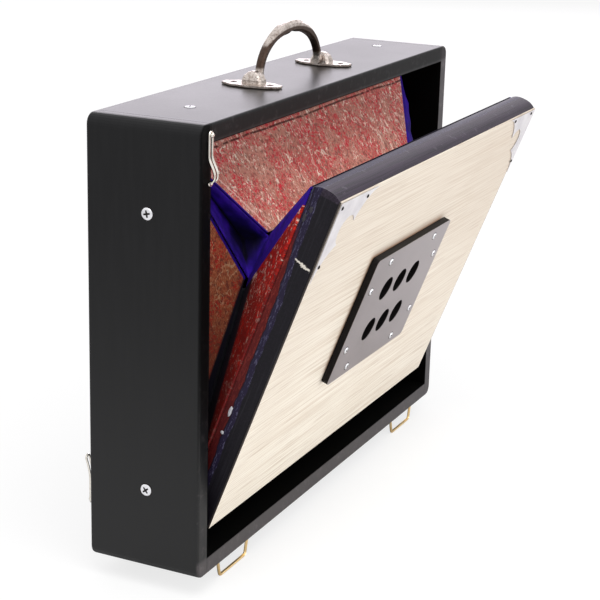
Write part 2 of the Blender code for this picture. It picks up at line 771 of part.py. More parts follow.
def corner_plate(name, parent, side):
    """A thin metal plate at a top corner: two arms and, between them, two tips round a notch."""
    arm = Vector((CORNER_REACH, CORNER_INSET))
    tip = Vector(CORNER_TIP)
    toward = Vector((-1, -1)).normalized()
    hollow = (arm + tip) / 2 + toward * CORNER_ARM_HOLLOW
    notch = Vector((1, 1)) * (tip.x + tip.y) / 2 + toward * CORNER_NOTCH
    other_tip = tip.yx
    outline = [Vector((CORNER_INSET, CORNER_INSET))]
    outline += arc(arm, hollow, tip)
    outline += arc(tip, notch, other_tip, 12)[1:]
    outline += arc(other_tip, hollow.yx, arm.yx)[1:]
    top = BOARD_LIFT + BOARD_HEIGHT
    corners = [(side * (BOARD_HALF - p.x), 0, top - p.y) for p in outline]
    back = face_front() - GAP
    bm = bmesh.new()
    add_prism(bm, corners, (0, back, 0), (0, back - CORNER_THICK, 0))
    piece(name, bm, "white_metal", parent)


def inlet_flap(parent):
    """A leather flap over the holes inside the bellows, hinged along its top edge."""
    reach = AIR_HOLE_PITCH + AIR_HOLE_RADIUS + FLAP_MARGIN
    spread = AIR_ROW_PITCH / 2 + AIR_HOLE_RADIUS
    top = PLATE_CENTRE + spread + 2 * FLAP_MARGIN
    bottom = PLATE_CENTRE - spread - FLAP_MARGIN
    place = Matrix.Translation((PLATE_ASIDE, BOARD_BACK + GAP, top))
    axis = axis_empty("inlet_flap_axis", place, parent)
    board("inlet_flap", (-reach, 0, bottom - top), (reach, FLAP_THICK, 0), "leather", axis)


def hinge_strip():
    """The leather strip that hinges the pump board: its lower leg on the rail, upper on the board."""
    frame = pump_frame()
    half = BOARD_HALF - STRIP_SIDE_CLEAR
    lower_y = HINGE_Y
    upper_y = BOARD_BACK + GAP + STRIP_THICK / 2
    profile = [
        Vector((0, lower_y, HINGE_HEIGHT - STRIP_LAP)),
        Vector((0, lower_y, HINGE_HEIGHT - STRIP_BEND)),
        frame @ Vector((0, upper_y, STRIP_BEND)),
        frame @ Vector((0, upper_y, STRIP_LAP)),
    ]
    corners = [p + Vector((side * half, 0, 0)) for side in (-1, 1) for p in profile]
    faces = [(i, i + 1, i + 5, i + 4) for i in range(3)]
    sheet("pump_hinge_strip", corners, faces, STRIP_THICK, "leather")


def meeting_angles():
    """How far each card swings from its board at rest, so that every pair meets at its fold.

    Returns the angles of the top rear, top front and side cards.
    """
    frame = pump_frame()
    rear = Vector((0, REAR_CARD_Y, HINGE_HEIGHT + CARD_TOP))
    front = frame @ Vector((0, FRONT_CARD_Y, CARD_TOP))
    half_chord = (front - rear).length / 2
    toward = (front - rear).normalized()
    below = Vector((0, -toward.z, toward.y))
    if below.z > 0:
        below.negate()
    drop = math.sqrt(TOP_CARD_DEPTH**2 - half_chord**2)
    fold = (rear + front) / 2 + below * drop
    top_rear = (fold - rear).angle(Vector((0, 0, -1)))
    top_front = (fold - front).angle(-(frame.to_3x3() @ Vector((0, 0, 1))))

    side_rear = Vector((0, REAR_CARD_Y, HINGE_HEIGHT + SIDE_FOLD_HEIGHT))
    side_front = frame @ Vector((0, FRONT_CARD_Y, SIDE_FOLD_HEIGHT))
    half_chord = (side_front - side_rear).length / 2 / math.cos(BOARD_TILT / 2)
    side = math.asin(half_chord / SIDE_FOLD_WIDTH)
    return top_rear, top_front, side


def card_frames():
    """The frame of each card at rest, on its hinge line."""
    top_rear, top_front, side = meeting_angles()
    frames = {
        "top_rear": Matrix.Translation((0, REAR_CARD_Y, HINGE_HEIGHT + CARD_TOP))
        @ Matrix.Rotation(-top_rear, 4, "X"),
        "top_front": Matrix.Translation((0, FRONT_CARD_Y, CARD_TOP))
        @ Matrix.Rotation(top_front, 4, "X"),
    }
    for name, sign in (("left", -1), ("right", 1)):
        frames[name + "_rear"] = Matrix.Translation(
            (sign * CARD_HALF, REAR_CARD_Y, HINGE_HEIGHT)
        ) @ Matrix.Rotation(sign * side, 4, "Z")
        frames[name + "_front"] = Matrix.Translation(
            (sign * CARD_HALF, FRONT_CARD_Y, 0)
        ) @ Matrix.Rotation(-sign * side, 4, "Z")
    return frames


def card(name, parent, outline):
    """A stiff card: an outline in its own plane, given its thickness."""
    bm = bmesh.new()
    across = Vector((0, CARD_THICK / 2, 0))
    add_prism(bm, outline, -across, across)
    piece(name, bm, "marbled_card", parent)


def inset_outline(corners, distances):
    """A flat convex outline whose edges are moved inward, each by its own distance.

    Each edge runs from its corner to the next one.
    """
    corners = [Vector(c) for c in corners]
    count = len(corners)
    middle = sum(corners, Vector()) / count
    lines = []
    for i, distance in enumerate(distances):
        start, end = corners[i], corners[(i + 1) % count]
        across = (end - start).normalized().cross(Vector((0, 1, 0)))
        if across.dot(middle - start) < 0:
            across.negate()
        lines.append((start + across * distance, end + across * distance))
    return [
        geometry.intersect_line_line(*lines[i - 1], *lines[i])[0] for i in range(count)
    ]


def top_outline():
    """The top card: hinged along its upper edge, narrower at the fold."""
    half = CARD_HALF
    fold = half - TOP_FOLD_INSET
    depth = TOP_CARD_DEPTH
    corners = [(-half, 0, 0), (half, 0, 0), (fold, 0, -depth), (-fold, 0, -depth)]
    return inset_outline(corners, (0, CARD_EDGE_CLEAR, TOP_FOLD_GAP, CARD_EDGE_CLEAR))


def fold_reach(card, other, height):
    """How far from its hinge a side card's plane meets the other's, at this height."""
    across = other.to_3x3() @ Vector((0, 1, 0))
    start = card @ Vector((0, 0, height))
    inward = card.to_3x3() @ Vector((-math.copysign(1, start.x), 0, 0))
    return (other.translation - start).dot(across) / inward.dot(across)


def side_corners(card, other):
    """The side card up to its folds, in its own frame: its hinge edge is the upright one."""
    inward = -math.copysign(1, card.translation.x)
    low = fold_reach(card, other, CARD_BOTTOM) * inward
    high = fold_reach(card, other, SIDE_FOLD_HEIGHT) * inward
    return [
        Vector((0, 0, CARD_BOTTOM)),
        Vector((low, 0, CARD_BOTTOM)),
        Vector((high, 0, SIDE_FOLD_HEIGHT)),
        Vector((0, 0, CARD_TOP)),
    ]


def bellows_folds():
    """The frames of the cards at rest, in the part's frame, and each side card's corners."""
    frames = card_frames()
    pump = pump_frame()
    placed = {n: pump @ f if n.endswith("front") else f for n, f in frames.items()}
    corners = {}
    for name in ("left", "right"):
        rear, front = placed[name + "_rear"], placed[name + "_front"]
        corners[name + "_rear"] = side_corners(rear, front)
        corners[name + "_front"] = side_corners(front, rear)
    return frames, placed, corners


def build_cards(pump, frames, corners):
    for name, frame in frames.items():
        parent = pump if name.endswith("front") else None
        axis = axis_empty("bellows_card_" + name + "_axis", frame, parent)
        if name in corners:
            insets = (GAP, SIDE_FOLD_GAP, CARD_EDGE_CLEAR, 0)
            outline = inset_outline(corners[name], insets)
        else:
            outline = top_outline()
        card("bellows_card_" + name, axis, outline)


def along(start, end, distance):
    """The point at this distance from start, toward end."""
    return start + (end - start).normalized() * distance


def fold_cloth(name, rear_edge, front_edge, gap):
    """The cloth that joins two cards along their fold.

    Each edge holds the fold line's two ends, then the points they move toward to reach the card.
    """
    rows = []
    for edge in (rear_edge, front_edge):
        low, high, low_side, high_side = edge
        reach = gap - GAP
        rows.append((along(low, low_side, reach), along(high, high_side, reach)))
    middle = [(rear_edge[i] + front_edge[i]) / 2 for i in (0, 1)]
    corners = [*rows[0], *middle, *rows[1]]
    faces = [(0, 1, 3, 2), (2, 3, 5, 4)]
    sheet("bellows_fold_" + name, corners, faces, CLOTH_THICK, "black_cloth")


def top_fold_edge(frame):
    """The top card's fold line and the same line moved up the card."""
    half = CARD_HALF - TOP_FOLD_INSET - SIDE_FOLD_GAP
    ends = [frame @ Vector((x, 0, -TOP_CARD_DEPTH)) for x in (-half, half)]
    up = frame.to_3x3() @ Vector((0, 0, 1))
    return [*ends, ends[0] + up, ends[1] + up]


def side_fold_edge(frame, corners):
    """The side card's fold line, short of its point, and the same line moved into the card."""
    low, high = corners[1], corners[2]
    start = along(low, high, SIDE_FOLD_GAP)
    stop = along(high, low, 2 * SIDE_FOLD_GAP)
    inward = Vector((low.z - high.z, 0, high.x - low.x))
    if inward.x * high.x > 0:
        inward.negate()
    ends = [frame @ start, frame @ stop]
    side = frame.to_3x3() @ inward
    return [*ends, ends[0] + side, ends[1] + side]


def gusset(name, rear_corner, front_corner, top, side):
    """The blue cloth corner between the cards, with its slack tucked inward as a pocket.

    It runs from the top cards' fold point to the side cards' fold point, and to a corner of
    the middle board and of the pump board.
    """
    seam = (top + side) / 2
    inward = (top - rear_corner).cross(side - rear_corner).normalized()
    if inward.y < 0:
        inward.negate()
    pocket = along(seam, rear_corner, GUSSET_TUCK) + inward * GUSSET_SINK
    hollow = seam.lerp(front_corner, GUSSET_FRONT_SHARE) + inward * GUSSET_FRONT_SINK
    rear_start = along(rear_corner, seam, GUSSET_START)
    front_start = along(front_corner, seam, GUSSET_START)
    corners = [rear_start, front_start, top, side, pocket, hollow]
    faces = [(0, 4, 2), (0, 3, 4), (4, 3, 2), (2, 3, 5), (1, 2, 5), (1, 5, 3)]
    sheet("bellows_gusset_" + name, corners, faces, CLOTH_THICK, "blue_cloth")


def bellows_cloth(placed, corners):
    top_rear, top_front = placed["top_rear"], placed["top_front"]
    fold_cloth("top", top_fold_edge(top_rear), top_fold_edge(top_front), TOP_FOLD_GAP)
    for name, sign in (("left", -1), ("right", 1)):
        rear, front = placed[name + "_rear"], placed[name + "_front"]
        rear_corners, front_corners = corners[name + "_rear"], corners[name + "_front"]
        rear_edge = side_fold_edge(rear, rear_corners)
        fold_cloth(name, rear_edge, side_fold_edge(front, front_corners), SIDE_FOLD_GAP)
        hinge_end = Vector((sign * CARD_HALF, 0, 0))
        fold_end = Vector((sign * (CARD_HALF - TOP_FOLD_INSET), 0, -TOP_CARD_DEPTH))
        top = (top_rear @ fold_end + top_front @ fold_end) / 2
        side = (rear @ rear_corners[2] + front @ front_corners[2]) / 2
        gusset(name, top_rear @ hinge_end, top_front @ hinge_end, top, side)


def build_pump():
    axis = axis_empty("pump_hinge_axis", pump_frame())
    pump_board(axis)
    face_panel(axis)
    inlet_plate(axis)
    inlet_flap(axis)
    corner_plate("corner_plate_left", axis, -1)
    corner_plate("corner_plate_right", axis, 1)
    hinge_strip()
    frames, placed, corners = bellows_folds()
    build_cards(axis, frames, corners)
    bellows_cloth(placed, corners)


def build_chest():
    """The wooden rails that carry the tone panel and the reservoir, behind the middle board."""
    front = MIDDLE_REAR + GAP
    half = INNER_HALF - GAP
    inner = CHEST_INNER_HALF
    low, high = INNER_BOTTOM + GAP, INNER_TOP - GAP
    board("chest_rail_left", (-half, front, low), (-inner, CHEST_BACK, high), "plain_wood")
    board("chest_rail_right", (inner, front, low), (half, CHEST_BACK, high), "plain_wood")
    span = inner - GAP
    low_rail = (-span, front, low)
    board("chest_rail_bottom", low_rail, (span, CHEST_BACK, low + CHEST_RAIL_WIDTH), "plain_wood")
    start = (-span, front, DIVIDER_HEIGHT)
    end = (span, CHEST_BACK, DIVIDER_HEIGHT + DIVIDER_THICK)
    divider = board("chest_divider", start, end, "plain_wood")
    slots = bmesh.new()
    middle = (front + CHEST_BACK) / 2
    half_slot = AIR_SLOT_LENGTH / 2
    low_face = DIVIDER_HEIGHT - OVERSHOOT
    high_face = DIVIDER_HEIGHT + DIVIDER_THICK + OVERSHOOT
    for i in range(AIR_SLOTS):
        x = (i - (AIR_SLOTS - 1) / 2) * AIR_SLOT_PITCH
        add_box(
            slots,
            (x - half_slot, middle - AIR_SLOT_DEPTH / 2, low_face),
            (x + half_slot, middle + AIR_SLOT_DEPTH / 2, high_face),
        )
    boolean(divider, tool("chest_divider_slots", slots), "DIFFERENCE")


def note_x(index):
    return (index - (NOTES - 1) / 2) * NOTE_PITCH


def tone_panel():
    half = INNER_HALF - GAP
    start = CHEST_BACK + GAP
    low = (-half, start, DIVIDER_HEIGHT + DIVIDER_THICK / 2)
    high = (half, start + TONE_PANEL_THICK, INNER_TOP - GAP)
    panel = board("tone_panel", low, high, "black_paint")
    holes = bmesh.new()
    for i in range(NOTES):
        centre = (note_x(i), start - OVERSHOOT, TONE_HEIGHT)
        add_cylinder(holes, centre, (0, 1, 0), TONE_HOLE, TONE_PANEL_THICK + 2 * OVERSHOOT, 16)
    boolean(panel, tool("tone_panel_holes", holes), "DIFFERENCE")


def reed_plate():
    """One brass plate with a slot for each note and a tongue over it, shorter as notes rise."""
    back = CHEST_BACK
    front = back - REED_PLATE_THICK
    low = (-REED_PLATE_HALF, front, TONE_HEIGHT - REED_PLATE_LONG / 2)
    high = (REED_PLATE_HALF, back, TONE_HEIGHT + REED_PLATE_LONG / 2)
    plate = board("reed_plate", low, high, "reed_brass")
    slots = bmesh.new()
    tongues = bmesh.new()
    for i in range(NOTES):
        long = REED_LOW + (REED_HIGH - REED_LOW) * i / (NOTES - 1)
        x = note_x(i)
        top = TONE_HEIGHT + long / 2
        add_box(
            slots,
            (x - REED_SLOT / 2, front - OVERSHOOT, TONE_HEIGHT - long / 2),
            (x + REED_SLOT / 2, back + OVERSHOOT, top),
        )
        add_box(
            tongues,
            (x - TONGUE_WIDTH / 2, front - TONGUE_THICK, TONE_HEIGHT - long / 2 + GAP * 2),
            (x + TONGUE_WIDTH / 2, front + TONGUE_THICK / 2, top + TONGUE_ROOT),
        )
    boolean(plate, tool("reed_plate_slots", slots), "DIFFERENCE")
    boolean(plate, tool("reed_plate_tongues", tongues), "UNION")


def note_stop(index):
    """A pivoting stop: a pad over the tone hole, an arm up to its pivot, and a knob."""
    surface = CHEST_BACK + GAP + TONE_PANEL_THICK + GAP
    place = Matrix.Translation((note_x(index), surface, TONE_HEIGHT + STOP_ARM))
    axis = axis_empty(f"note_stop_{index + 1:02d}_axis", place)
    taper = math.asin((STOP_PAD - STOP_HUB) / STOP_ARM)
    outline = []
    for i in range(7):
        turn = taper + (math.pi - 2 * taper) * i / 6
        outline.append((STOP_HUB * math.cos(turn), 0, STOP_HUB * math.sin(turn)))
    for i in range(13):
        turn = math.pi - taper + (math.pi + 2 * taper) * i / 12
        outline.append((STOP_PAD * math.cos(turn), 0, STOP_PAD * math.sin(turn) - STOP_ARM))
    bm = bmesh.new()
    add_prism(bm, outline, (0, 0, 0), (0, STOP_THICK, 0))
    stop = piece(f"note_stop_{index + 1:02d}", bm, "old_nickel", axis)
    knob = bmesh.new()
    profile = (
        (STOP_THICK / 2, STOP_KNOB_NECK),
        (STOP_THICK + STOP_KNOB_WIDEST, STOP_KNOB),
        (STOP_THICK + STOP_KNOB_HEIGHT, STOP_KNOB_TIP),
    )
    add_turned(knob, (0, 0, -STOP_ARM), (0, 1, 0), profile, 12)
    boolean(stop, tool(stop.name + "_knob", knob, axis), "UNION")


def build_tones():
    tone_panel()
    reed_plate()
    for index in range(NOTES):
        note_stop(index)


def reservoir_bounds():
    half = INNER_HALF - RESERVOIR_CLEAR
    low = INNER_BOTTOM + RESERVOIR_CLEAR
    high = DIVIDER_HEIGHT + DIVIDER_THICK / 2 - RESERVOIR_CLEAR
    return half, low, high


def build_reservoir():
    """The rear board, its folded cloth bellows and the two springs that draw it shut."""
    half, low, high = reservoir_bounds()
    pivot = Vector((0, (CHEST_BACK + RESERVOIR_FRONT) / 2, low))
    axis = axis_empty("reservoir_axis", Matrix.Translation(pivot))
    bm = bmesh.new()
    start = Vector((-half, RESERVOIR_FRONT, low)) - pivot
    end = Vector((half, RESERVOIR_BACK, high)) - pivot
    add_box(bm, start, end)

    def rear_edge(a, b):
        return abs(a.y - end.y) + abs(b.y - end.y) < 1e-6

    round_edges(bm, rear_edge, RESERVOIR_ROUND, 2)
    piece("reservoir_board", bm, "black_leathercloth", axis)

    edge = BELLOWS_LAP
    glued = BELLOWS_LAP + BELLOWS_GLUE
    deep = BELLOWS_LAP + BELLOWS_FOLD
    near = CHEST_BACK + GAP + CLOTH_THICK / 2
    far = RESERVOIR_FRONT - GAP - CLOTH_THICK / 2
    middle = (near + far) / 2
    profile = ((near, glued), (near, edge), (middle, deep), (far, edge), (far, glued))
    rings = []
    for y, reach in profile:
        rings.append(
            [
                (-half + reach, y, low + reach),
                (half - reach, y, low + reach),
                (half - reach, y, high - reach),
                (-half + reach, y, high - reach),
            ]
        )
    corners = [corner for ring in rings for corner in ring]
    faces = []
    for r in range(len(rings) - 1):
        for i in range(4):
            j = (i + 1) % 4
            faces.append((4 * r + i, 4 * r + j, 4 * r + 4 + j, 4 * r + 4 + i))
    sheet("reservoir_bellows", corners, faces, CLOTH_THICK, "blue_cloth")

    begin = MIDDLE_REAR + GAP + SPRING_WIRE
    stop = RESERVOIR_FRONT - GAP - SPRING_WIRE
    for name, sign in (("left", -1), ("right", 1)):
        points = [(sign * SPRING_SPREAD / 2, begin, SPRING_HEIGHT)]
        steps = SPRING_TURNS * 10
        for i in range(steps + 1):
            turn = math.tau * i / 10
            y = begin + SPRING_LEAD + (stop - begin - 2 * SPRING_LEAD) * i / steps
            x = sign * SPRING_SPREAD / 2 + SPRING_RADIUS * math.cos(turn)
            points.append((x, y, SPRING_HEIGHT + SPRING_RADIUS * math.sin(turn)))
        points.append((sign * SPRING_SPREAD / 2, stop, SPRING_HEIGHT))
        wire("reservoir_spring_" + name, points, SPRING_WIRE, "spring_steel", roundness=1)


clear_scene()
build_case()
build_handle()
build_latches()
build_middle()
build_pump()
build_chest()
build_tones()
build_reservoir()
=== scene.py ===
import json
import math

import bmesh
import bpy
from mathutils import Matrix, Vector, noise

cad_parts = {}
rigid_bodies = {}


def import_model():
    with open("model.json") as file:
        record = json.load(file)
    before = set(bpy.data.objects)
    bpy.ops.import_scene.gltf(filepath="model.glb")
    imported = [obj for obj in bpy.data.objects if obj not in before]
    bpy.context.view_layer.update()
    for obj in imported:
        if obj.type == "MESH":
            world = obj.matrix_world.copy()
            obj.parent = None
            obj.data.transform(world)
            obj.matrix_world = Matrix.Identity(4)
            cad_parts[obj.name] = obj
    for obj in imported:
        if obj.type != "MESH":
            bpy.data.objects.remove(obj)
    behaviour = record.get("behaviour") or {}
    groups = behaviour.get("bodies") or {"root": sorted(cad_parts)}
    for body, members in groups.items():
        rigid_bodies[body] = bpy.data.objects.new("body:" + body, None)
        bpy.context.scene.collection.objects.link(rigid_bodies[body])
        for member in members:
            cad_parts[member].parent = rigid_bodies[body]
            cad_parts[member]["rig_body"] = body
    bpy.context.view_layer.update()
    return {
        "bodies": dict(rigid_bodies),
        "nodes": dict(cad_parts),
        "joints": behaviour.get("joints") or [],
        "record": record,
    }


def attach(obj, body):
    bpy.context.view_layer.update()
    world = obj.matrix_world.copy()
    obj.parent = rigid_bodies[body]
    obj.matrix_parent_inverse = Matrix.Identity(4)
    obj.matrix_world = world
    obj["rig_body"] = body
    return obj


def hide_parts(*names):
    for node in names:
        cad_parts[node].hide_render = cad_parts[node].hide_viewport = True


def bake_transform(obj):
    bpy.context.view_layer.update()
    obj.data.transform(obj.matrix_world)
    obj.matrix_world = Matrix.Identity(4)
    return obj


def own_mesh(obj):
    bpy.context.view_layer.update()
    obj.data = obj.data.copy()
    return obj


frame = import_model()
nodes = frame["nodes"]
joints = {j["name"]: j for j in frame["joints"]}


# Camera: a product photograph from the left front and a little above, through a long lens.
# Its place and turn are those at which the case's edges meet the photograph's.

CAMERA_PLACE = (-1.06155, -0.5135, 0.49149)
CAMERA_AZIMUTH = math.radians(-64.718)
CAMERA_RISE = math.radians(16.978)
CAMERA_ROLL = math.radians(1.560)
CAMERA_LENS = 99.35

camera = bpy.data.objects.new("camera", bpy.data.cameras.new("camera"))
camera.data.lens = CAMERA_LENS
camera.data.sensor_width = 36
back = Vector((
    math.sin(CAMERA_AZIMUTH) * math.cos(CAMERA_RISE),
    -math.cos(CAMERA_AZIMUTH) * math.cos(CAMERA_RISE),
    math.sin(CAMERA_RISE),
))
level = Vector((math.cos(CAMERA_AZIMUTH), math.sin(CAMERA_AZIMUTH), 0))
above = back.cross(level)
right = level * math.cos(CAMERA_ROLL) + above * math.sin(CAMERA_ROLL)
upward = above * math.cos(CAMERA_ROLL) - level * math.sin(CAMERA_ROLL)
turn = Matrix((right, upward, back)).transposed()
camera.matrix_world = Matrix.Translation(CAMERA_PLACE) @ turn.to_4x4()
bpy.context.scene.collection.objects.link(camera)
bpy.context.scene.camera = camera
bpy.context.scene.view_settings.view_transform = "Standard"


# Studio: a white surround, three large soft lights and a pale paper floor.
# The far light stands behind the box and to the right, where the painted top mirrors it.

class Value:
    """A node's output, with arithmetic."""

    def __init__(self, finish, socket):
        self.finish, self.socket = finish, socket

    def math(self, operation, *others):
        return self.finish.node(
            "ShaderNodeMath", {"operation": operation}, dict(enumerate((self, *others)))
        )

    def __add__(self, other):
        return self.math("ADD", other)

    def __sub__(self, other):
        return self.math("SUBTRACT", other)

    def __mul__(self, other):
        return self.math("MULTIPLY", other)

    def __truediv__(self, other):
        return self.math("DIVIDE", other)

    def __rsub__(self, other):
        return self * -1 + other

    def __rtruediv__(self, other):
        return self.math("POWER", -1) * other

    def __pow__(self, other):
        return self.math("POWER", other)

    def __neg__(self):
        return self * -1

    def __abs__(self):
        return self.math("ABSOLUTE")

    def __and__(self, other):
        return self.math("MINIMUM", other)

    def __or__(self, other):
        return self.math("MAXIMUM", other)

    __radd__ = __add__
    __rmul__ = __mul__

    def rise(self, low, high):
        """0 below low and 1 above high, smooth between them."""
        settings = {"interpolation_type": "SMOOTHSTEP"}
        return self.finish.node("ShaderNodeMapRange", settings, {0: self, 1: low, 2: high})

    def fall(self, low, high):
        """1 below low and 0 above high, smooth between them."""
        return 1 - self.rise(low, high)


class Finish:
    """A material with its principled shader, or another node tree. Constants set the shader's inputs."""

    def __init__(self, name, tree=None, **constants):
        if tree is None:
            self.material = bpy.data.materials.new(name)
            self.material.use_nodes = True
            tree = self.material.node_tree
            self.shader = tree.nodes["Principled BSDF"]
            for key, value in constants.items():
                self.shader.inputs[key.replace("_", " ")].default_value = value
        self.tree = tree

    def join(self, slot, value):
        if isinstance(value, Value):
            self.tree.links.new(value.socket, slot)
        elif hasattr(slot.default_value, "__len__"):
            slot.default_value = (*value, 1)[: len(slot.default_value)]
        else:
            slot.default_value = value

    def node(self, kind, settings=None, inputs=None, output=0):
        made = self.tree.nodes.new(kind)
        for key, value in (settings or {}).items():
            setattr(made, key, value)
        for key, value in (inputs or {}).items():
            self.join(made.inputs[key], value)
        return Value(self, made.outputs[output])

    def place(self):
        return self.node("ShaderNodeTexCoord", output="Object")

    def axes(self, place):
        return [self.node("ShaderNodeSeparateXYZ", None, {0: place}, i) for i in range(3)]

    def vector(self, x, y, z):
        return self.node("ShaderNodeCombineXYZ", None, {0: x, 1: y, 2: z})

    def scaled(self, place, *scale):
        return self.node("ShaderNodeVectorMath", {"operation": "MULTIPLY"}, {0: place, 1: scale})

    def noise(self, place, scale, detail=3.0, rough=0.55, twist=0.0, output=0):
        inputs = {"Vector": place, "Scale": scale, "Detail": detail, "Roughness": rough}
        inputs["Distortion"] = twist
        return self.node("ShaderNodeTexNoise", None, inputs, output)

    def cells(self, place, scale):
        return self.node("ShaderNodeTexVoronoi", None, {"Vector": place, "Scale": scale})

    def mix(self, share, first, second):
        """A colour mix. The node's colour sockets are inputs 6 and 7, and output 2."""
        return self.node("ShaderNodeMix", {"data_type": "RGBA"}, {0: share, 6: first, 7: second}, 2)

    def bump(self, height, distance):
        inputs = {"Height": height, "Distance": distance, "Strength": 1.0}
        self.drive("Normal", self.node("ShaderNodeBump", None, inputs))

    def drive(self, key, value):
        self.tree.links.new(value.socket, self.shader.inputs[key])

    def cover(self, share, colour, rough, specular):
        """A plain second shader that takes over where share is 1."""
        inputs = {"Base Color": colour, "Roughness": rough, "Specular IOR Level": specular}
        added = self.node("ShaderNodeBsdfPrincipled", None, inputs)
        first = Value(self, self.shader.outputs[0])
        both = self.node("ShaderNodeMixShader", None, {0: share, 1: first, 2: added})
        self.tree.links.new(both.socket, self.tree.nodes["Material Output"].inputs["Surface"])


FLOOR_HEIGHT, FLOOR_REACH = -0.0135, 6.0

world = bpy.data.worlds.new("studio")
bpy.context.scene.world = world
world.use_nodes = True
air = Finish("studio", world.node_tree)
seen = air.node("ShaderNodeLightPath", output="Is Camera Ray")
mirrored = air.node("ShaderNodeLightPath", output="Is Glossy Ray")
through = air.node("ShaderNodeLightPath", output="Is Transmission Ray")
background = world.node_tree.nodes["Background"]
background.inputs["Color"].default_value = (1, 1, 1, 1)
air.join(background.inputs["Strength"], 0.62 + 0.38 * (seen | mirrored | through))


def soft_light(name, place, target, size, power, colour=(1, 1, 1)):
    light = bpy.data.objects.new(name, bpy.data.lights.new(name, "AREA"))
    light.data.shape = "RECTANGLE"
    light.data.size, light.data.size_y = size
    light.data.energy = power
    light.data.color = colour
    light.location = place
    direction = Vector(target) - Vector(place)
    light.rotation_euler = direction.to_track_quat("-Z", "Y").to_euler()
    bpy.context.scene.collection.objects.link(light)


soft_light("key_light", (0.2, -1.5, 0.25), (0, -0.05, 0.08), (1.6, 0.6), 11)
soft_light("far_light", (2.6, 1.2, 1.15), (0, 0, 0.3), (2.6, 1.3), 20, (0.965, 0.885, 1.0))
soft_light("sky_light", (-0.5, -0.35, 1.35), (0, -0.05, 0.25), (0.9, 0.9), 9)

paper = Finish("studio_floor", Roughness=0.9, Specular_IOR_Level=0, Emission_Color=(1, 1, 1, 1))
camera_only = paper.node("ShaderNodeLightPath", output="Is Camera Ray")
fleck = paper.noise(paper.place(), 3.0)
shade = paper.mix(fleck, (0.86, 0.86, 0.86), (0.88, 0.88, 0.88))
paper.drive("Base Color", paper.mix(camera_only, shade, (0.28, 0.28, 0.28)))
paper.drive("Emission Strength", camera_only * 0.76)
mesh = bpy.data.meshes.new("floor")
corners = ((-1, -1), (1, -1), (1, 1), (-1, 1))
mesh.from_pydata([(x * FLOOR_REACH, y * FLOOR_REACH, FLOOR_HEIGHT) for x, y in corners], [], [(0, 1, 2, 3)])
mesh.materials.append(paper.material)
floor = bpy.data.objects.new("floor", mesh)
bpy.context.scene.collection.objects.link(floor)


# Case: four boards screwed together as a shallow frame, painted satin black over an upright grain.
# Wear lightens the front rim, its lower and right arrises are painted lighter still as highlight, and its
# left and top arrises are painted dark as shade. The inside is dull black.

CASE_WIDTH, CASE_HEIGHT, CASE_DEPTH, CASE_WALL = 0.410, 0.300, 0.082, 0.012
NEAR, FAR = 0.0001, 0.0008
PAINT = (0.0018, 0.0018, 0.0026)
PAINT_LIGHT = (0.0050, 0.0050, 0.0060)
PAINT_WORN_AND_LIT = (0.085, 0.074, 0.078)


def finish_nodes(finish, *names):
    for name in names:
        data = nodes[name].data
        data.materials.clear()
        data.materials.append(finish.material)


paint = Finish("black_paint_satin", Metallic=0.0, Specular_IOR_Level=0.27)
place = paint.place()
x, y, z = paint.axes(place)
grain = paint.noise(paint.scaled(place, 60, 60, 6), 4.0, 4.0, 0.6)
fine_grain = paint.noise(paint.scaled(place, 1, 1, 0.12), 900.0, 2.0)
cloud = paint.noise(place, 9.0, 3.0)
rim = (-y).rise(CASE_DEPTH / 2 - 0.0022, CASE_DEPTH / 2 - 0.0004)
lit_lower_rim = (z.fall(0.010, 0.014) | x.rise(0.188, 0.196)) * rim
edge_wear = paint.noise(place, 180.0, 4.0, 0.7).rise(0.52, 0.72)
shade = paint.mix(grain.rise(0.35, 0.7) * 0.6 + cloud * 0.3, PAINT, PAINT_LIGHT)
outer = CASE_WIDTH / 2
# Painted light: the outer side faces are painted lighter towards the bottom.
painted_side_light = abs(x).rise(outer - 0.0015, outer - 0.0005) * z.fall(-0.02, 0.27)
shade = paint.mix(painted_side_light, shade, (0.017, 0.017, 0.0175))
# Painted highlight: the lower and right parts of the front rim are painted lighter where light catches
# them, mottled by wear.
shade = paint.mix(lit_lower_rim * (0.55 + 0.45 * edge_wear), shade, PAINT_WORN_AND_LIT)
shade = paint.mix((rim - lit_lower_rim) * edge_wear * 0.35, shade, PAINT_WORN_AND_LIT)
paint.drive("Base Color", shade)
on_top = z.rise(CASE_HEIGHT - 0.0005, CASE_HEIGHT - NEAR)
paint.drive("Roughness", 0.36 + 0.10 * cloud + 0.05 * fine_grain - 0.10 * on_top)
paint.bump(grain * 0.5 + fine_grain * 0.35, 0.00006)
ceiling, wall_face = CASE_HEIGHT - CASE_WALL, CASE_WIDTH / 2 - CASE_WALL
inside = z.rise(CASE_WALL - FAR, CASE_WALL - NEAR) * z.fall(ceiling + NEAR, ceiling + FAR)
inside = inside * abs(x).fall(wall_face + NEAR, wall_face + FAR)
# Painted shade: the left rim above the foot and the top rim are painted dull black, like the inside.
painted_rim_shade = rim * (x.fall(-0.196, -0.190) * z.rise(0.04, 0.16) * 0.85 | z.rise(0.288, 0.291) * 0.45)
paint.cover(inside | painted_rim_shade, (0.002, 0.002, 0.002), 0.9, 0.02)
finish_nodes(paint, "case_left", "case_right", "case_top", "case_bottom", "hinge_rail", "tone_panel")


# Inside wood: plain boards and rails glued into the case, which carry the pump and the wind chest.
# They are unfinished, and show only through the open back.

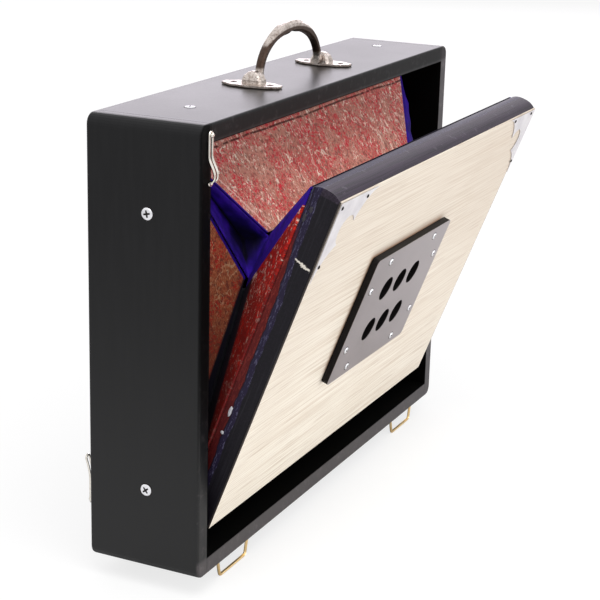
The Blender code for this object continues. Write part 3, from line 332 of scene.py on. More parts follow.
wood = Finish("inside_wood")
place = wood.place()
rings = wood.noise(wood.scaled(place, 4, 40, 40), 3.0, 5.0, 0.6, 0.4)
pores = wood.noise(wood.scaled(place, 12, 300, 300), 3.0, 3.0)
shade = wood.mix(rings.rise(0.3, 0.7), (0.50, 0.33, 0.18), (0.34, 0.20, 0.10))
wood.drive("Base Color", wood.mix(pores.rise(0.55, 0.75) * 0.5, shade, (0.22, 0.12, 0.06)))
wood.drive("Roughness", 0.62 + 0.15 * rings)
wood.bump(pores, 0.00008)
finish_nodes(
    wood, "middle_board", "chest_divider", "chest_rail_bottom", "chest_rail_left",
    "chest_rail_right",
)


# Pump board: a thick board wrapped in black leathercloth, its top edge painted a lighter grey as sheen.
# The bellows' hem and the red card's edge lap onto the back of its left side,
# where a short tear in the leathercloth shows its pale backing.

pump = joints["pump_hinge"]
PUMP_TILT = math.radians(-pump["range_deg"][0])
pump_frame = Matrix.Translation(pump["pos_m"]) @ Matrix.Rotation(PUMP_TILT, 4, "X")
BOARD_HALF = 0.185
BOARD_TOP = 0.247
BOARD_FACE = -0.0206
BOARD_BACK = -0.0016


def own_axes(finish, matrix, place):
    """The distances along a frame's own axes, from the row frame's coordinates."""
    inverse = matrix.inverted()
    found = []
    for row in range(3):
        dot = finish.node(
            "ShaderNodeVectorMath", {"operation": "DOT_PRODUCT"},
            {0: place, 1: tuple(inverse[row][:3])}, "Value",
        )
        found.append(dot + inverse[row][3])
    return found


cloth = Finish("leathercloth", Specular_IOR_Level=0.18)
place = cloth.place()
x, y, z = own_axes(cloth, pump_frame, place)
pebble = cloth.cells(place, 1500.0)
long_streak = cloth.noise(cloth.vector(x * 14, y * 900, z * 900), 1.0, 3.0, 0.6)
side_streak = cloth.noise(cloth.vector(x * 700, y * 700, z * 20), 1.0, 3.0, 0.6)
top = z.rise(BOARD_TOP - 0.0022, BOARD_TOP - 0.0006)
left = (-x).rise(BOARD_HALF - 0.0022, BOARD_HALF - 0.0006)
spots = cloth.noise(place, 130.0, 3.0, 0.6).rise(0.62, 0.72)
shade = cloth.mix(long_streak.rise(0.4, 0.7) * 0.5, (0.006, 0.005, 0.008), (0.014, 0.011, 0.018))
# Painted sheen: the rounded top edge is painted lighter grey, with lighter flecks.
shade = cloth.mix(top * (0.35 + 0.65 * long_streak.rise(0.35, 0.65)), shade, (0.040, 0.028, 0.046))
shade = cloth.mix(top * spots * 0.3, shade, (0.16, 0.14, 0.18))
shade = cloth.mix(left * side_streak.rise(0.5, 0.75) * 0.6, shade, (0.024, 0.023, 0.030))
wander = cloth.noise(place, 70.0, 3.0) * 0.004
lap = y + wander
seam = BOARD_BACK - 0.0030 * z.fall(0.150, 0.225)
hem = (lap - seam).rise(-0.0046, -0.0038) * (left | top * 0.8)
strokes = cloth.noise(cloth.vector(x * 700, y * 900, z * 200), 1.0, 3.0, 0.75)
shade = cloth.mix(hem, shade, (0.016, 0.011, 0.034))
shade = cloth.mix(hem * strokes.rise(0.55, 0.62) * 0.8, shade, (0.085, 0.080, 0.145))
hem_edge = hem * (lap - seam).fall(-0.0042, -0.0032)
shade = cloth.mix(hem_edge * strokes.rise(0.52, 0.60) * 0.6, shade, (0.16, 0.15, 0.25))
near_left = (-x).rise(BOARD_HALF - 0.007, BOARD_HALF - 0.006)
tucked = near_left * (lap - seam).rise(-0.0002, 0.0002) * z.fall(0.205, 0.225)
red_edge = cloth.mix(strokes.rise(0.5, 0.6), (0.10, 0.004, 0.0035), (0.20, 0.020, 0.014))
# Painted shade: the red edge is painted darker towards the bottom.
red_edge = cloth.mix(z.fall(0.02, 0.21) * 0.7, red_edge, (0.05, 0.006, 0.008))
shade = cloth.mix(tucked, shade, red_edge)
shade = cloth.mix(left * abs(lap - seam).fall(0.0002, 0.0006) * 0.8, shade, (0.006, 0.003, 0.008))
TEAR_TOP, TEAR_SLOPE = 0.2005, 0.22
tear_line = z - TEAR_TOP - (y + 0.009) * TEAR_SLOPE
ragged = cloth.noise(place, 420.0, 3.0, 0.7)
tear = abs(tear_line + (ragged - 0.5) * 0.0060).fall(0.0006, 0.0012) * left
tear = tear * y.fall(-0.0085, -0.0075) * y.rise(-0.0200, -0.0192) * (-x).rise(0.183, 0.1835)
shade = cloth.mix(tear, shade, (0.80, 0.74, 0.66))
cloth.drive("Base Color", shade)
cloth.drive("Roughness", 0.42 + 0.14 * long_streak + 0.3 * tear)
cloth.bump(pebble * 0.4 + long_streak * top + side_streak * left, 0.00012)
finish_nodes(cloth, "pump_board")


# Reservoir board: the sprung board at the back, wrapped in the same black leathercloth.
# It is clean and evenly pebbled, because nobody handles it.

plain_cloth = Finish("reservoir_leathercloth", Specular_IOR_Level=0.18)
place = plain_cloth.place()
pebble = plain_cloth.cells(place, 1500.0)
wash = plain_cloth.noise(place, 30.0, 3.0)
shade = plain_cloth.mix(wash.rise(0.35, 0.65), (0.007, 0.006, 0.009), (0.014, 0.012, 0.017))
plain_cloth.drive("Base Color", plain_cloth.mix(pebble.rise(0.3, 0.6) * 0.4, shade, (0.004, 0.003, 0.005)))
plain_cloth.drive("Roughness", 0.44 + 0.12 * wash)
plain_cloth.bump(pebble, 0.0001)
finish_nodes(plain_cloth, "reservoir_board")


# Face panel: a thin cream laminate glued to the pump board, printed with a fine level grain.
# A brown shadow of the inlet plate is painted above and left of it.

PLATE_HALF = (0.06775, 0.0505)
PLATE_ASIDE = -0.0088
PLATE_MIDDLE = 0.1292

cream = Finish("cream_laminate", Specular_IOR_Level=0.35)
place = cream.place()
x, _, z = own_axes(cream, pump_frame, place)
line = cream.noise(cream.vector(x * 6, 0, z * 1150), 1.0, 2.0, 0.5)
wide_line = cream.noise(cream.vector(x * 5 + 40, 0, z * 150), 1.0, 3.0, 0.6)
dash = cream.noise(cream.vector(x * 16, 3, z * 1300), 1.0, 2.0, 0.5)
shade = cream.mix(line.rise(0.38, 0.58), (0.75, 0.655, 0.54), (0.92, 0.86, 0.75))
shade = cream.mix(wide_line.rise(0.45, 0.75) * 0.15, shade, (0.74, 0.61, 0.48))
shade = cream.mix(dash.rise(0.55, 0.66) * 0.55, shade, (0.52, 0.40, 0.30))
# Painted shade: the laminate is painted darker towards the top and the right.
painted_shade_up_and_right = 0.02 + z.rise(0.0, 0.24) * 0.40 + x.rise(-0.05, 0.18) * 0.14
shade = cream.mix(painted_shade_up_and_right, shade, (0.47, 0.375, 0.295))
past_x = (abs(x - PLATE_ASIDE) - PLATE_HALF[0]) | 0
past_z = (abs(z - PLATE_MIDDLE) - PLATE_HALF[1]) | 0
away = (past_x ** 2 + past_z ** 2) ** 0.5
left_of_right_end = (PLATE_ASIDE + PLATE_HALF[0] - 0.004 - x).rise(0, 0.01)
above_foot = (z - PLATE_MIDDLE + PLATE_HALF[1] - 0.004).rise(0, 0.01)
upper_left = left_of_right_end * above_foot
# Painted shadow: a soft brown band round the plate's upper and left edges.
painted_plate_shadow = (away.fall(0.0, 0.008) * 0.55 + away.fall(0.0, 0.0022) * 0.35) * upper_left
shade = cream.mix(painted_plate_shadow, shade, (0.34, 0.19, 0.11))
cream.drive("Base Color", cream.mix(abs(x).rise(0.1845, 0.1848), shade, (0.05, 0.04, 0.035)))
cream.drive("Roughness", 0.42 + 0.12 * line)
cream.bump(line + dash * 0.6, 0.00005)
finish_nodes(cream, "face_panel")


# Inlet plate: smooth grey metal with six air holes, screwed over the board's own holes.
# Its cut edges are nearly black.

grey = Finish("grey_metal_plate", Metallic=0.55)
place = grey.place()
x, y, z = own_axes(grey, pump_frame, place)
face = (-y).rise(-BOARD_FACE + 0.0062, -BOARD_FACE + 0.0065)
brushed = grey.noise(grey.vector(x * 30, 0, z * 900), 1.0, 3.0, 0.6)
smear = grey.noise(place, 26.0, 3.0)
# Painted sheen: the plate is painted lighter towards its upper right.
across = (x + z).rise(0.02, 0.24)
shade = grey.mix(across, (0.205, 0.178, 0.178), (0.345, 0.31, 0.315))
grey.drive("Base Color", grey.mix(smear.rise(0.3, 0.7) * 0.25 + brushed * 0.25, shade, (0.40, 0.36, 0.37)))
grey.drive("Roughness", 0.34 + 0.12 * smear + 0.08 * brushed)
grey.bump(brushed, 0.00003)
grey.cover(1 - face, (0.006, 0.005, 0.005), 0.5, 0.12)
finish_nodes(grey, "inlet_plate")


# Corner plates: thin bright metal cut in a fancy outline, nailed over the panel's upper corners.
# They are a little dull and scratched.

white_metal = Finish("thin_bright_metal", Metallic=0.75)
place = white_metal.place()
scratch = white_metal.noise(white_metal.scaled(place, 30, 300, 300), 2.0, 4.0, 0.7)
smear = white_metal.noise(place, 60.0, 3.0)
shade = white_metal.mix(smear.rise(0.35, 0.7), (0.80, 0.775, 0.79), (0.66, 0.635, 0.66))
white_metal.drive("Base Color", white_metal.mix(scratch.rise(0.6, 0.8) * 0.3, shade, (0.5, 0.47, 0.5)))
white_metal.drive("Roughness", 0.30 + 0.2 * smear)
white_metal.bump(scratch, 0.00004)
finish_nodes(white_metal, "corner_plate_left", "corner_plate_right")


# Bellows cards: six stiff cards faced with marbled paper, rose on top, tan and red at the sides.
# Their slanted edges are hemmed with the blue cloth and their long edges have a black binding.
# The paper stops a little short of the hem, and a wide soft dark along the red cards' folds is painted
# shadow.

TOP_FOLD_INSET, TOP_CARD_DEPTH = 0.062, 0.078
SIDE_FOLD_WIDTH, SIDE_FOLD_HEIGHT = 0.0556, 0.152
CREASE_DOWN, PAPER_INSET = 0.0108, 0.0068
BLUE = (0.024, 0.003, 0.240)
DARK_BLUE = (0.0045, 0.0032, 0.010)


def card_frame(key, local):
    """A card's own frame at rest, on its hinge line, with Y across the card."""
    joint = joints[f"card_{key}_hinge"]
    low, high = joint["range_deg"]
    angle = math.radians(high if high else low)
    if key.endswith("front"):
        base = Matrix.Rotation(PUMP_TILT, 4, "X")
    else:
        base = Matrix.Identity(4)
    return Matrix.Translation(joint["pos_m"]) @ base @ Matrix.Rotation(-angle, 4, local)


def marbled(key, matrix, margins, palette):
    """Marbled paper in the card's plane: drops, combed threads and flecks, inside the margins."""
    finish = Finish("marbled_paper_" + key, Specular_IOR_Level=0.2)
    place = finish.place()
    x, y, z = own_axes(finish, matrix, place)
    flat = finish.vector(x, y * 0.2, z)
    drift = finish.noise(flat, 34.0, 3.0, 0.6, 0.0, 1)
    bent = finish.node(
        "ShaderNodeVectorMath", {"operation": "MULTIPLY_ADD"},
        {0: drift, 1: (0.012, 0.012, 0.012), 2: flat},
    )
    base, blotch, cream_fleck, dark, fleck_share = palette
    blot = finish.noise(bent, 46.0, 3.0, 0.6)
    clump = finish.noise(bent, 120.0, 2.0, 0.6)
    fibre = finish.noise(finish.vector(x * 1500 + z * 500, 0, z * 420), 1.0, 2.0, 0.5)
    red_drop = finish.cells(bent, 760.0)
    red_pick = finish.noise(bent, 330.0, 3.0, 0.7)
    cream_drop = finish.cells(finish.scaled(bent, 1.0, 1.0, 0.6), 900.0)
    cream_pick = finish.noise(finish.scaled(bent, 1.0, 1.0, 0.7), 270.0, 3.0, 0.7)
    thread_1 = abs(finish.noise(finish.scaled(bent, 1.5, 1.0, 0.8), 95.0, 2.0, 0.5) - 0.5)
    thread_2 = abs(finish.noise(finish.scaled(bent, 1.2, 1.0, 0.7), 150.0, 2.0, 0.5, 0.4) - 0.47)
    tangle = finish.noise(flat, 36.0, 1.0)
    shade = finish.mix(fibre.rise(0.32, 0.62) * 0.75, base, dark)
    shade = finish.mix(blot.rise(0.42, 0.62) * 0.25, shade, blotch)
    zone = finish.noise(flat, 24.0, 2.0, 0.5)
    shade = finish.mix(zone.rise(0.46, 0.58) * 0.30, shade, dark)
    red = red_pick.rise(0.46, 0.51) * red_drop.fall(0.40, 0.70) * (0.22 + 0.78 * blot.rise(0.44, 0.54))
    shade = finish.mix(red, shade, blotch)
    big_drop = finish.cells(bent, 400.0)
    shade = finish.mix(clump.rise(0.54, 0.60) * big_drop.fall(0.30, 0.45), shade, blotch)
    brown_pick = finish.noise(finish.scaled(bent, 1.0, 1.0, 0.6), 520.0, 3.0, 0.7)
    shade = finish.mix(brown_pick.rise(0.53, 0.60) * 0.85, shade, finish.mix(0.5, dark, (0.10, 0.03, 0.03)))
    flecks = cream_pick.rise(0.56, 0.62) * cream_drop.fall(0.35, 0.6)
    long_threads = thread_1.fall(0.007, 0.018) * tangle.rise(0.53, 0.60)
    short_threads = thread_2.fall(0.006, 0.016) * clump.rise(0.52, 0.62) * 0.9
    for mask in (flecks, long_threads, short_threads):
        shade = finish.mix(mask * fleck_share, shade, cream_fleck)
    # Painted shade: the side cards are painted darker towards the bottom.
    if not key.startswith("top"):
        shade = finish.mix(z.fall(0.02, 0.21) * 0.85, shade, dark)
    if key in ("left_front", "right_front"):
        shade = finish.mix(abs(x).fall(0.0002, 0.0010) * z.fall(0.17, 0.22) * 0.8, shade, dark)
    if key == "top_rear":
        crease = abs(z + CREASE_DOWN + 0.006 * (finish.noise(flat, 9.0) - 0.5)).fall(0.0004, 0.0010)
        shade = finish.mix(crease * clump.rise(0.3, 0.5) * 0.9, shade, (0.06, 0.012, 0.01))
        shade = finish.mix((-z).fall(0.0075, 0.0095) * 0.7, shade, (0.20, 0.04, 0.035))
        run = math.hypot(TOP_FOLD_INSET, TOP_CARD_DEPTH)
        from_slant = (BOARD_HALF - abs(x)) * (TOP_CARD_DEPTH / run) + z * (TOP_FOLD_INSET / run)
        paper_edge = abs(from_slant - PAPER_INSET - 0.004 * (cream_pick - 0.5)).fall(0.0003, 0.0009)
        paper_edge = paper_edge * (-z).rise(0.022, 0.032) * x.fall(-0.05, 0.0)
        shade = finish.mix(paper_edge * 0.8, shade, (0.90, 0.62, 0.55))
        shade = finish.mix((z + TOP_CARD_DEPTH).fall(0.0035, 0.0045) * 0.6, shade, (0.30, 0.12, 0.09))
    hems, binding_and_shade = margins(x, z)
    shade = finish.mix(binding_and_shade, shade, DARK_BLUE)
    finish.drive("Base Color", finish.mix(hems, shade, BLUE))
    finish.drive("Roughness", 0.62 + 0.2 * (hems | binding_and_shade) + 0.06 * blot)
    finish.bump(blot * 0.3 + (hems | binding_and_shade), 0.00012)
    return finish


def top_margins(slant, low, high):
    """Masks of a top card's slanted hems, and of its bound long edges."""
    run = math.hypot(TOP_FOLD_INSET, TOP_CARD_DEPTH)

    def binding_and_shade(x, z):
        inside = (BOARD_HALF - abs(x)) * (TOP_CARD_DEPTH / run) + z * (TOP_FOLD_INSET / run)
        hems = inside.fall(slant - 0.0002, slant + 0.0002)
        return hems, (z + TOP_CARD_DEPTH).fall(low, low + 0.0004) | (-z).fall(high, high + 0.0004)

    return binding_and_shade


def side_margins(upper, fold, hinge):
    """Masks of a side card's hem along its upper edge, and of its fold and hinge edges, dark as binding
    and, where the fold margin is wide and soft, as painted shadow.
    """

    def binding_and_shade(x, z):
        across = abs(x)
        run = math.hypot(SIDE_FOLD_WIDTH, BOARD_TOP - SIDE_FOLD_HEIGHT)
        down = (BOARD_TOP - z) * (SIDE_FOLD_WIDTH / run)
        top_edge = down - across * ((BOARD_TOP - SIDE_FOLD_HEIGHT) / run)
        slope = SIDE_FOLD_WIDTH / SIDE_FOLD_HEIGHT
        low_edge = (z * slope - across) / math.hypot(1, slope)
        hems = top_edge.fall(upper - 0.0002, upper + 0.0002)
        return hems, low_edge.fall(fold, fold * 1.6) | across.fall(hinge, hinge + 0.0004)

    return binding_and_shade


ROSE = ((0.80, 0.46, 0.36), (0.70, 0.018, 0.050), (1.0, 0.93, 0.80), (0.44, 0.17, 0.13), 0.9)
TAN = ((0.58, 0.20, 0.085), (0.50, 0.020, 0.016), (0.95, 0.70, 0.38), (0.20, 0.045, 0.025), 0.35)
RED = ((0.38, 0.008, 0.005), (0.66, 0.018, 0.008), (0.97, 0.84, 0.70), (0.12, 0.004, 0.004), 0.65)
card_looks = {
    "top_rear": ("X", ROSE, top_margins(0.0019, 0.001, 0.0004)),
    "top_front": ("X", ROSE, top_margins(0.0019, 0.002, 0.001)),
    "left_rear": ("Z", TAN, side_margins(0.0025, 0.0036, 0.0004)),
    "right_rear": ("Z", TAN, side_margins(0.0025, 0.0036, 0.0004)),
    # The red cards' wide, soft fold margin is painted shadow of the fold over their black binding.
    "left_front": ("Z", RED, side_margins(0.0062, 0.0105, -1)),
    "right_front": ("Z", RED, side_margins(0.0062, 0.0105, -1)),
}
for key, (local, palette, margins) in card_looks.items():
    looks = marbled(key, card_frame(key, local), margins, palette)
    finish_nodes(looks, "bellows_card_" + key)


# Metal fittings: the handle and the note stops are cast and nickelled, now dull, and screwed on.
# The latches are bright nickelled wire on pins, and the feet are brass wire set in the underside.
# The reeds are filed from brass, and the springs are coiled from bare steel.

def metal(name, light, dark, rough, grime=0.5, scale=260.0):
    finish = Finish(name, Metallic=1.0)
    place = finish.place()
    dirt = finish.noise(place, scale, 4.0, 0.65)
    wash = finish.noise(place, scale / 5, 3.0)
    finish.drive("Base Color", finish.mix(dirt.rise(0.45, 0.75) * grime, light, dark))
    finish.drive("Roughness", rough + 0.22 * wash * dirt)
    finish.bump(dirt, 0.00005)
    return finish


HANDLE_ASIDE, HANDLE_HALF, BAIL_AXIS, BAIL_RISE = -0.003, 0.0535, 0.3052, 0.0296
OLD_LIGHT, OLD_DARK, OLD_BROWN = (0.66, 0.585, 0.54), (0.20, 0.135, 0.10), (0.040, 0.020, 0.012)
old_nickel = Finish("dulled_nickel", Metallic=1.0)
place = old_nickel.place()
x, _, z = old_nickel.axes(place)
dirt = old_nickel.noise(place, 300.0, 4.0, 0.65)
pitting = old_nickel.noise(place, 900.0, 3.0, 0.6)
wash = old_nickel.noise(place, 60.0, 3.0)
arch = (((x - HANDLE_ASIDE) / HANDLE_HALF) ** 2 + ((z - BAIL_AXIS) / BAIL_RISE) ** 2) ** 0.5
arch = arch + 0.03 * z.fall(0.310, 0.322)
# Painted shade: the bail's inner side and the base plates' lowest edge are painted dark brown.
painted_underside_shade = (arch.fall(0.975, 1.01) * z.rise(0.3085, 0.312)) | z.fall(0.3003, 0.3013)
shade = old_nickel.mix(dirt.rise(0.42, 0.72) * 0.75, OLD_LIGHT, OLD_DARK)
shade = old_nickel.mix(pitting.rise(0.56, 0.66) * 0.6, shade, OLD_BROWN)
old_nickel.drive("Base Color", old_nickel.mix(painted_underside_shade * 0.95, shade, OLD_BROWN))
old_nickel.drive("Roughness", 0.22 + 0.25 * wash * dirt + 0.2 * painted_underside_shade)
old_nickel.bump(dirt + pitting * 0.5, 0.00018)
finish_nodes(old_nickel, "handle_bail", "handle_base_left", "handle_base_right")
stop_names = sorted(n for n in nodes if n.startswith("note_stop_"))
stop_nickel = metal("note_stop_nickel", (0.70, 0.64, 0.58), (0.26, 0.20, 0.16), 0.26, 0.7, 420.0)
finish_nodes(stop_nickel, *stop_names)
bright_nickel = metal("bright_nickel", (0.86, 0.82, 0.75), (0.5, 0.45, 0.38), 0.18, 0.4)
finish_nodes(bright_nickel, "front_latch", "front_latch_pin", "rear_latch", "rear_latch_pin")
brass = metal("brass_wire", (0.82, 0.60, 0.30), (0.45, 0.28, 0.12), 0.24, 0.4)
feet = [n for n in nodes if n.startswith("wire_foot_")]
finish_nodes(brass, *feet)
reed_brass = metal("reed_brass", (0.74, 0.54, 0.25), (0.5, 0.34, 0.14), 0.3, 0.5, 120.0)
finish_nodes(reed_brass, "reed_plate")
steel = metal("spring_steel", (0.45, 0.45, 0.46), (0.2, 0.19, 0.18), 0.28, 0.5)
finish_nodes(steel, "reservoir_spring_left", "reservoir_spring_right")


# Flaps: valves of soft leather over the air holes and the port, glued along the top edge.
# Their free edges lift a hair.

leather = Finish("soft_leather")
place = leather.place()
pebble = leather.cells(place, 1300.0)
wash = leather.noise(place, 60.0, 4.0)
leather.drive("Base Color", leather.mix(wash.rise(0.3, 0.7), (0.30, 0.17, 0.09), (0.42, 0.26, 0.14)))
leather.drive("Roughness", 0.74 + 0.12 * wash)
leather.bump(pebble, 0.00015)


def built(name, points, faces, finish, body=None, sharp=None, thick=None):
    """A mesh piece in the row frame; it rides body, and thick makes a skin of it."""
    mesh = bpy.data.meshes.new(name)
    mesh.from_pydata([tuple(p) for p in points], [], faces)
    mesh.update()
    mesh.polygons.foreach_set("use_smooth", [True] * len(mesh.polygons))
    if sharp:
        mesh.set_sharp_from_angle(angle=math.radians(sharp))
    mesh.materials.append(finish.material)
    made = bpy.data.objects.new(name, mesh)
    bpy.context.scene.collection.objects.link(made)
    if thick:
        skin = made.modifiers.new("skin", "SOLIDIFY")
        skin.thickness, skin.offset = thick, 0
    if body:
        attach(made, body)
    return made


def grid(rows, closed=False):
    """Points and faces of rows of points; closed joins each row's end to its start."""
    points = [p for row in rows for p in row]
    wide = len(rows[0])
    faces = []
    for i in range(len(rows) - 1):
        for j in range(wide if closed else wide - 1):
            k = (j + 1) % wide
            faces.append((i * wide + j, i * wide + k, (i + 1) * wide + k, (i + 1) * wide + j))
    return points, faces


def ruffle(point, scale, amount):
    """The soft unevenness of cloth at a point."""
    return noise.noise(Vector(point) * scale) * amount


FLAP_STEPS, FLAP_THICK = 24, 0.00096
for name, matrix, carrier, (start, end), low, high, level in (
    ("inlet_flap", pump_frame, "pump_board", (-0.0488, 0.0312), 0.097, 0.1674, -0.0007),
    ("outlet_flap", Matrix.Identity(4), "middle_board", (-0.052, 0.052), 0.094, 0.132, 0.0029),
):
    rows = []
    for i in range(FLAP_STEPS + 1):
        down = i / FLAP_STEPS
        z = high + (low - high) * down
        row = []
        for j in range(FLAP_STEPS + 1):
            x = start + (end - start) * j / FLAP_STEPS
            lift = 0.0005 * down ** 3 + ruffle((x, 0, z), 60, 0.00025) * down
            row.append(matrix @ Vector((x, level + abs(lift), z)))
        rows.append(row)
    flap = built(name + "_leather", *grid(rows), leather, name, thick=FLAP_THICK)
    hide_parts(name)


# Pump hinge: one long strip of leather, the board's hinge and the bellows' lowest seal.
# It is glued to the hinge rail and up the pump board's back.

STRIP_HALF, STRIP_LONG, STRIP_THICK, STRIP_STEPS = 0.1808, 0.0235, 0.00102, 90
profile = [(-0.0170, 0.0242), (-0.0170, 0.0290), (-0.0170, 0.0337), (-0.0173, 0.0352), (-0.0181, 0.0368)]
profile += [(-0.01836 - 0.00354 * t, 0.03762 + 0.00936 * t) for t in (0.0, 0.33, 0.66, 1.0)]
rows = []
for j in range(STRIP_STEPS + 1):
    x = STRIP_HALF * (2 * j / STRIP_STEPS - 1)
    rows.append([(x, y + ruffle((x, y, z), 90, 0.00012), z) for y, z in profile])
strip = built("pump_hinge_leather", *grid(rows), leather, thick=STRIP_THICK)
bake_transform(strip)
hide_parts("pump_hinge_strip")


# Reservoir bellows: a ring of black cloth in two pleats, rounded at its corners.
# It is glued to the back wall and to the sprung board.

RING_HALF, RING_LOW, RING_HIGH, RING_ROUND = 0.1885, 0.0165, 0.1675, 0.004
PLEAT_DEPTH, PLEAT_FLAT, PLEAT_THICK = 0.014, (0.057, 0.993), 0.0005


def weave(name, light, dark, crease_shade=None):
    """Thin bellows cloth. Where the mask that crease_shade returns is 1, it is painted nearly black as
    shade.
    """
    finish = Finish(name, Roughness=0.8, Specular_IOR_Level=0.2)
    place = finish.place()
    thread = finish.noise(place, 1400.0, 2.0)
    wash = finish.noise(place, 75.0, 4.0, 0.6)
    shade = finish.mix(wash.rise(0.35, 0.7), dark, light)
    if crease_shade:
        shade = finish.mix(crease_shade(finish, place) * 0.97, shade, (0.001, 0.0003, 0.004))
    finish.drive("Base Color", shade)
    finish.drive("Roughness", 0.70 + 0.14 * wash)
    finish.bump(thread * 0.4 + wash, 0.0003)
    return finish


black_cloth = weave("black_bellows_cloth", (0.010, 0.009, 0.015), (0.004, 0.004, 0.006))
finish_nodes(black_cloth, "reservoir_bellows")


def ring_path(inset):
    """The pleat's outline at one inset, rounded at the corners."""
    found = []
    left, low, high = RING_HALF - inset, RING_LOW + inset, RING_HIGH - inset
    for corner, (cx, cz) in enumerate(((left, high), (-left, high), (-left, low), (left, low))):
        inner_x = cx - math.copysign(RING_ROUND, cx)
        inner_z = cz - math.copysign(RING_ROUND, cz - (low + high) / 2)
        for step in range(7):
            angle = math.radians(90 * corner + 15 * step)
            found.append((inner_x + RING_ROUND * math.cos(angle), inner_z + RING_ROUND * math.sin(angle)))
    dense = []
    for a, b in zip(found, found[1:] + found[:1]):
        steps = max(1, round(math.dist(a, b) / 0.006))
        for k in range(steps):
            dense.append((a[0] + (b[0] - a[0]) * k / steps, a[1] + (b[1] - a[1]) * k / steps))
    return dense


outline = ring_path(PLEAT_DEPTH / 2)
profile = [(0.0194, 0.0), (0.0199, 0.25), (0.0206, 0.75), (0.0213, 1.0), (0.0220, 0.75), (0.0228, 0.25)]
profile += [(0.0235, 0.0), (0.0242, 0.25), (0.0249, 0.75), (0.0256, 1.0), (0.0263, 0.75), (0.0270, 0.25)]
profile.append((0.0275, 0.0))
middle_z = (RING_LOW + RING_HIGH) / 2
rows = []
for y, depth in profile:
    row = []
    for x, z in outline:
        outward_x = max(0, min(1, (abs(x) - RING_HALF + 0.02) / 0.012))
        outward_z = 1 if abs(z - middle_z) > (RING_HIGH - RING_LOW) / 2 - PLEAT_DEPTH else 0
        shift = PLEAT_DEPTH * (0.5 - depth)
        row.append((
            x + math.copysign(1, x) * shift * outward_x, y + ruffle((x, y, z), 80, 0.00015),
            z + math.copysign(1, z - middle_z) * shift * outward_z,
        ))
    rows.append(row)
pleats = built("reservoir_bellows_cloth", *grid(rows, True), black_cloth, thick=PLEAT_THICK)
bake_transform(pleats)
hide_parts("reservoir_bellows")


# Reservoir springs: two coils of bare steel wire inside the bellows.
# They push the sprung board away from the middle board.

COIL_TURNS, COIL_STEPS, WIRE_SIDES = 7, 24, 8
COIL_RADIUS, COIL_WIRE = 0.0045, 0.00055
COIL_ASIDE, COIL_HEIGHT, COIL_NEAR, COIL_FAR = 0.075, 0.118, 0.0030, 0.0270
SIDES = ((-1, "left"), (1, "right"))
for side, name in SIDES:
    rows = []
    for i in range(COIL_TURNS * COIL_STEPS + 1):
        angle = 2 * math.pi * i / COIL_STEPS
        along = COIL_NEAR + (COIL_FAR - COIL_NEAR) * i / (COIL_TURNS * COIL_STEPS)
        outward = Vector((math.cos(angle), 0, math.sin(angle)))
        centre = Vector((side * COIL_ASIDE, along, COIL_HEIGHT)) + outward * COIL_RADIUS
        row = []
        for j in range(WIRE_SIDES):
            turn = 2 * math.pi * j / WIRE_SIDES
            reach = outward * math.cos(turn) + Vector((0, 1, 0)) * math.sin(turn)
            row.append(centre + reach * COIL_WIRE)
        rows.append(row)
    points, faces = grid(rows, True)
    faces += [tuple(range(WIRE_SIDES)), tuple(len(points) - 1 - k for k in range(WIRE_SIDES))]
    coil = built(f"reservoir_coil_{name}", points, faces, steel)
    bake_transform(coil)
    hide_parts(f"reservoir_spring_{name}")


# Bellows cloth: thin blue cloth closes the two corners, and narrow black strips join the cards.
# Each corner is one piece, hemmed on the cards' slanted edges and creased into a pocket;
# each strip is a single fold that points into the box.

REAR_CORNER = Vector((-0.185, -0.0081, 0.2825))
FRONT_CORNER = Vector((-0.185, -0.1046, 0.26641))
TOP_END = Vector((-0.123, -0.04636, 0.21453))
SIDE_END = Vector((-0.13988, -0.04056, 0.18877))
INWARD = Vector((0.4472, 0.8896, -0.0928))
POCKET = Vector((-0.12394, -0.0270, 0.21050))
HOLLOW = Vector((-0.15107, -0.06436, 0.22718))
CARD_OUTWARD = Vector((-0.7827, -0.3055, -0.5428))
HEM, HEM_RISE, HEM_START = 0.0046, 0.0007, 0.0012
ROLL = {-1: 0.0016, 1: 0.0125}
ROLL_START, ROLL_WIDTH = 0.0030, 0.010
LAP_RISE, LAP_WIDTH = 0.0012, 0.006
SIDE_LAP = ((REAR_CORNER + SIDE_END) / 2 - POCKET).normalized() * 0.0022
CORNER_CUTS, CORNER_THICK = 26, 0.0006


def corner_crease_shade(finish, place):
    """A mask of painted shade that is 1 deep in the corner and along its creases."""
    x, y, z = finish.axes(place)
    depth = (
        (-abs(x) - REAR_CORNER.x) * INWARD.x + (y - REAR_CORNER.y) * INWARD.y
        + (z - REAR_CORNER.z) * INWARD.z
    )
    mirrored_place = finish.vector(-abs(x), y, z)
    from_pocket = finish.node(
        "ShaderNodeVectorMath", {"operation": "DISTANCE"}, {0: mirrored_place, 1: tuple(POCKET)}, "Value",
    )
    crease_shade = depth.rise(0.006, 0.0155)
    crease_shade = crease_shade | from_pocket.fall(0.010, 0.027) * depth.rise(0.0005, 0.004) * 0.93
    for start, end, near, far in (
        (REAR_CORNER, POCKET, 0.0006, 0.0040),
        (POCKET, SIDE_END, 0.0014, 0.0075),
        (POCKET, TOP_END, 0.0002, 0.0030),
    ):
        away = finish.node(
            "ShaderNodeVectorMath", {"operation": "SUBTRACT"}, {0: mirrored_place, 1: tuple(start)},
        )
        across = finish.node(
            "ShaderNodeVectorMath", {"operation": "CROSS_PRODUCT"},
            {0: away, 1: tuple((end - start).normalized())},
        )
        gap = finish.node("ShaderNodeVectorMath", {"operation": "LENGTH"}, {0: across}, "Value")
        crease_shade = crease_shade | gap.fall(near, far) * depth.rise(0.0015, 0.008)
    return crease_shade


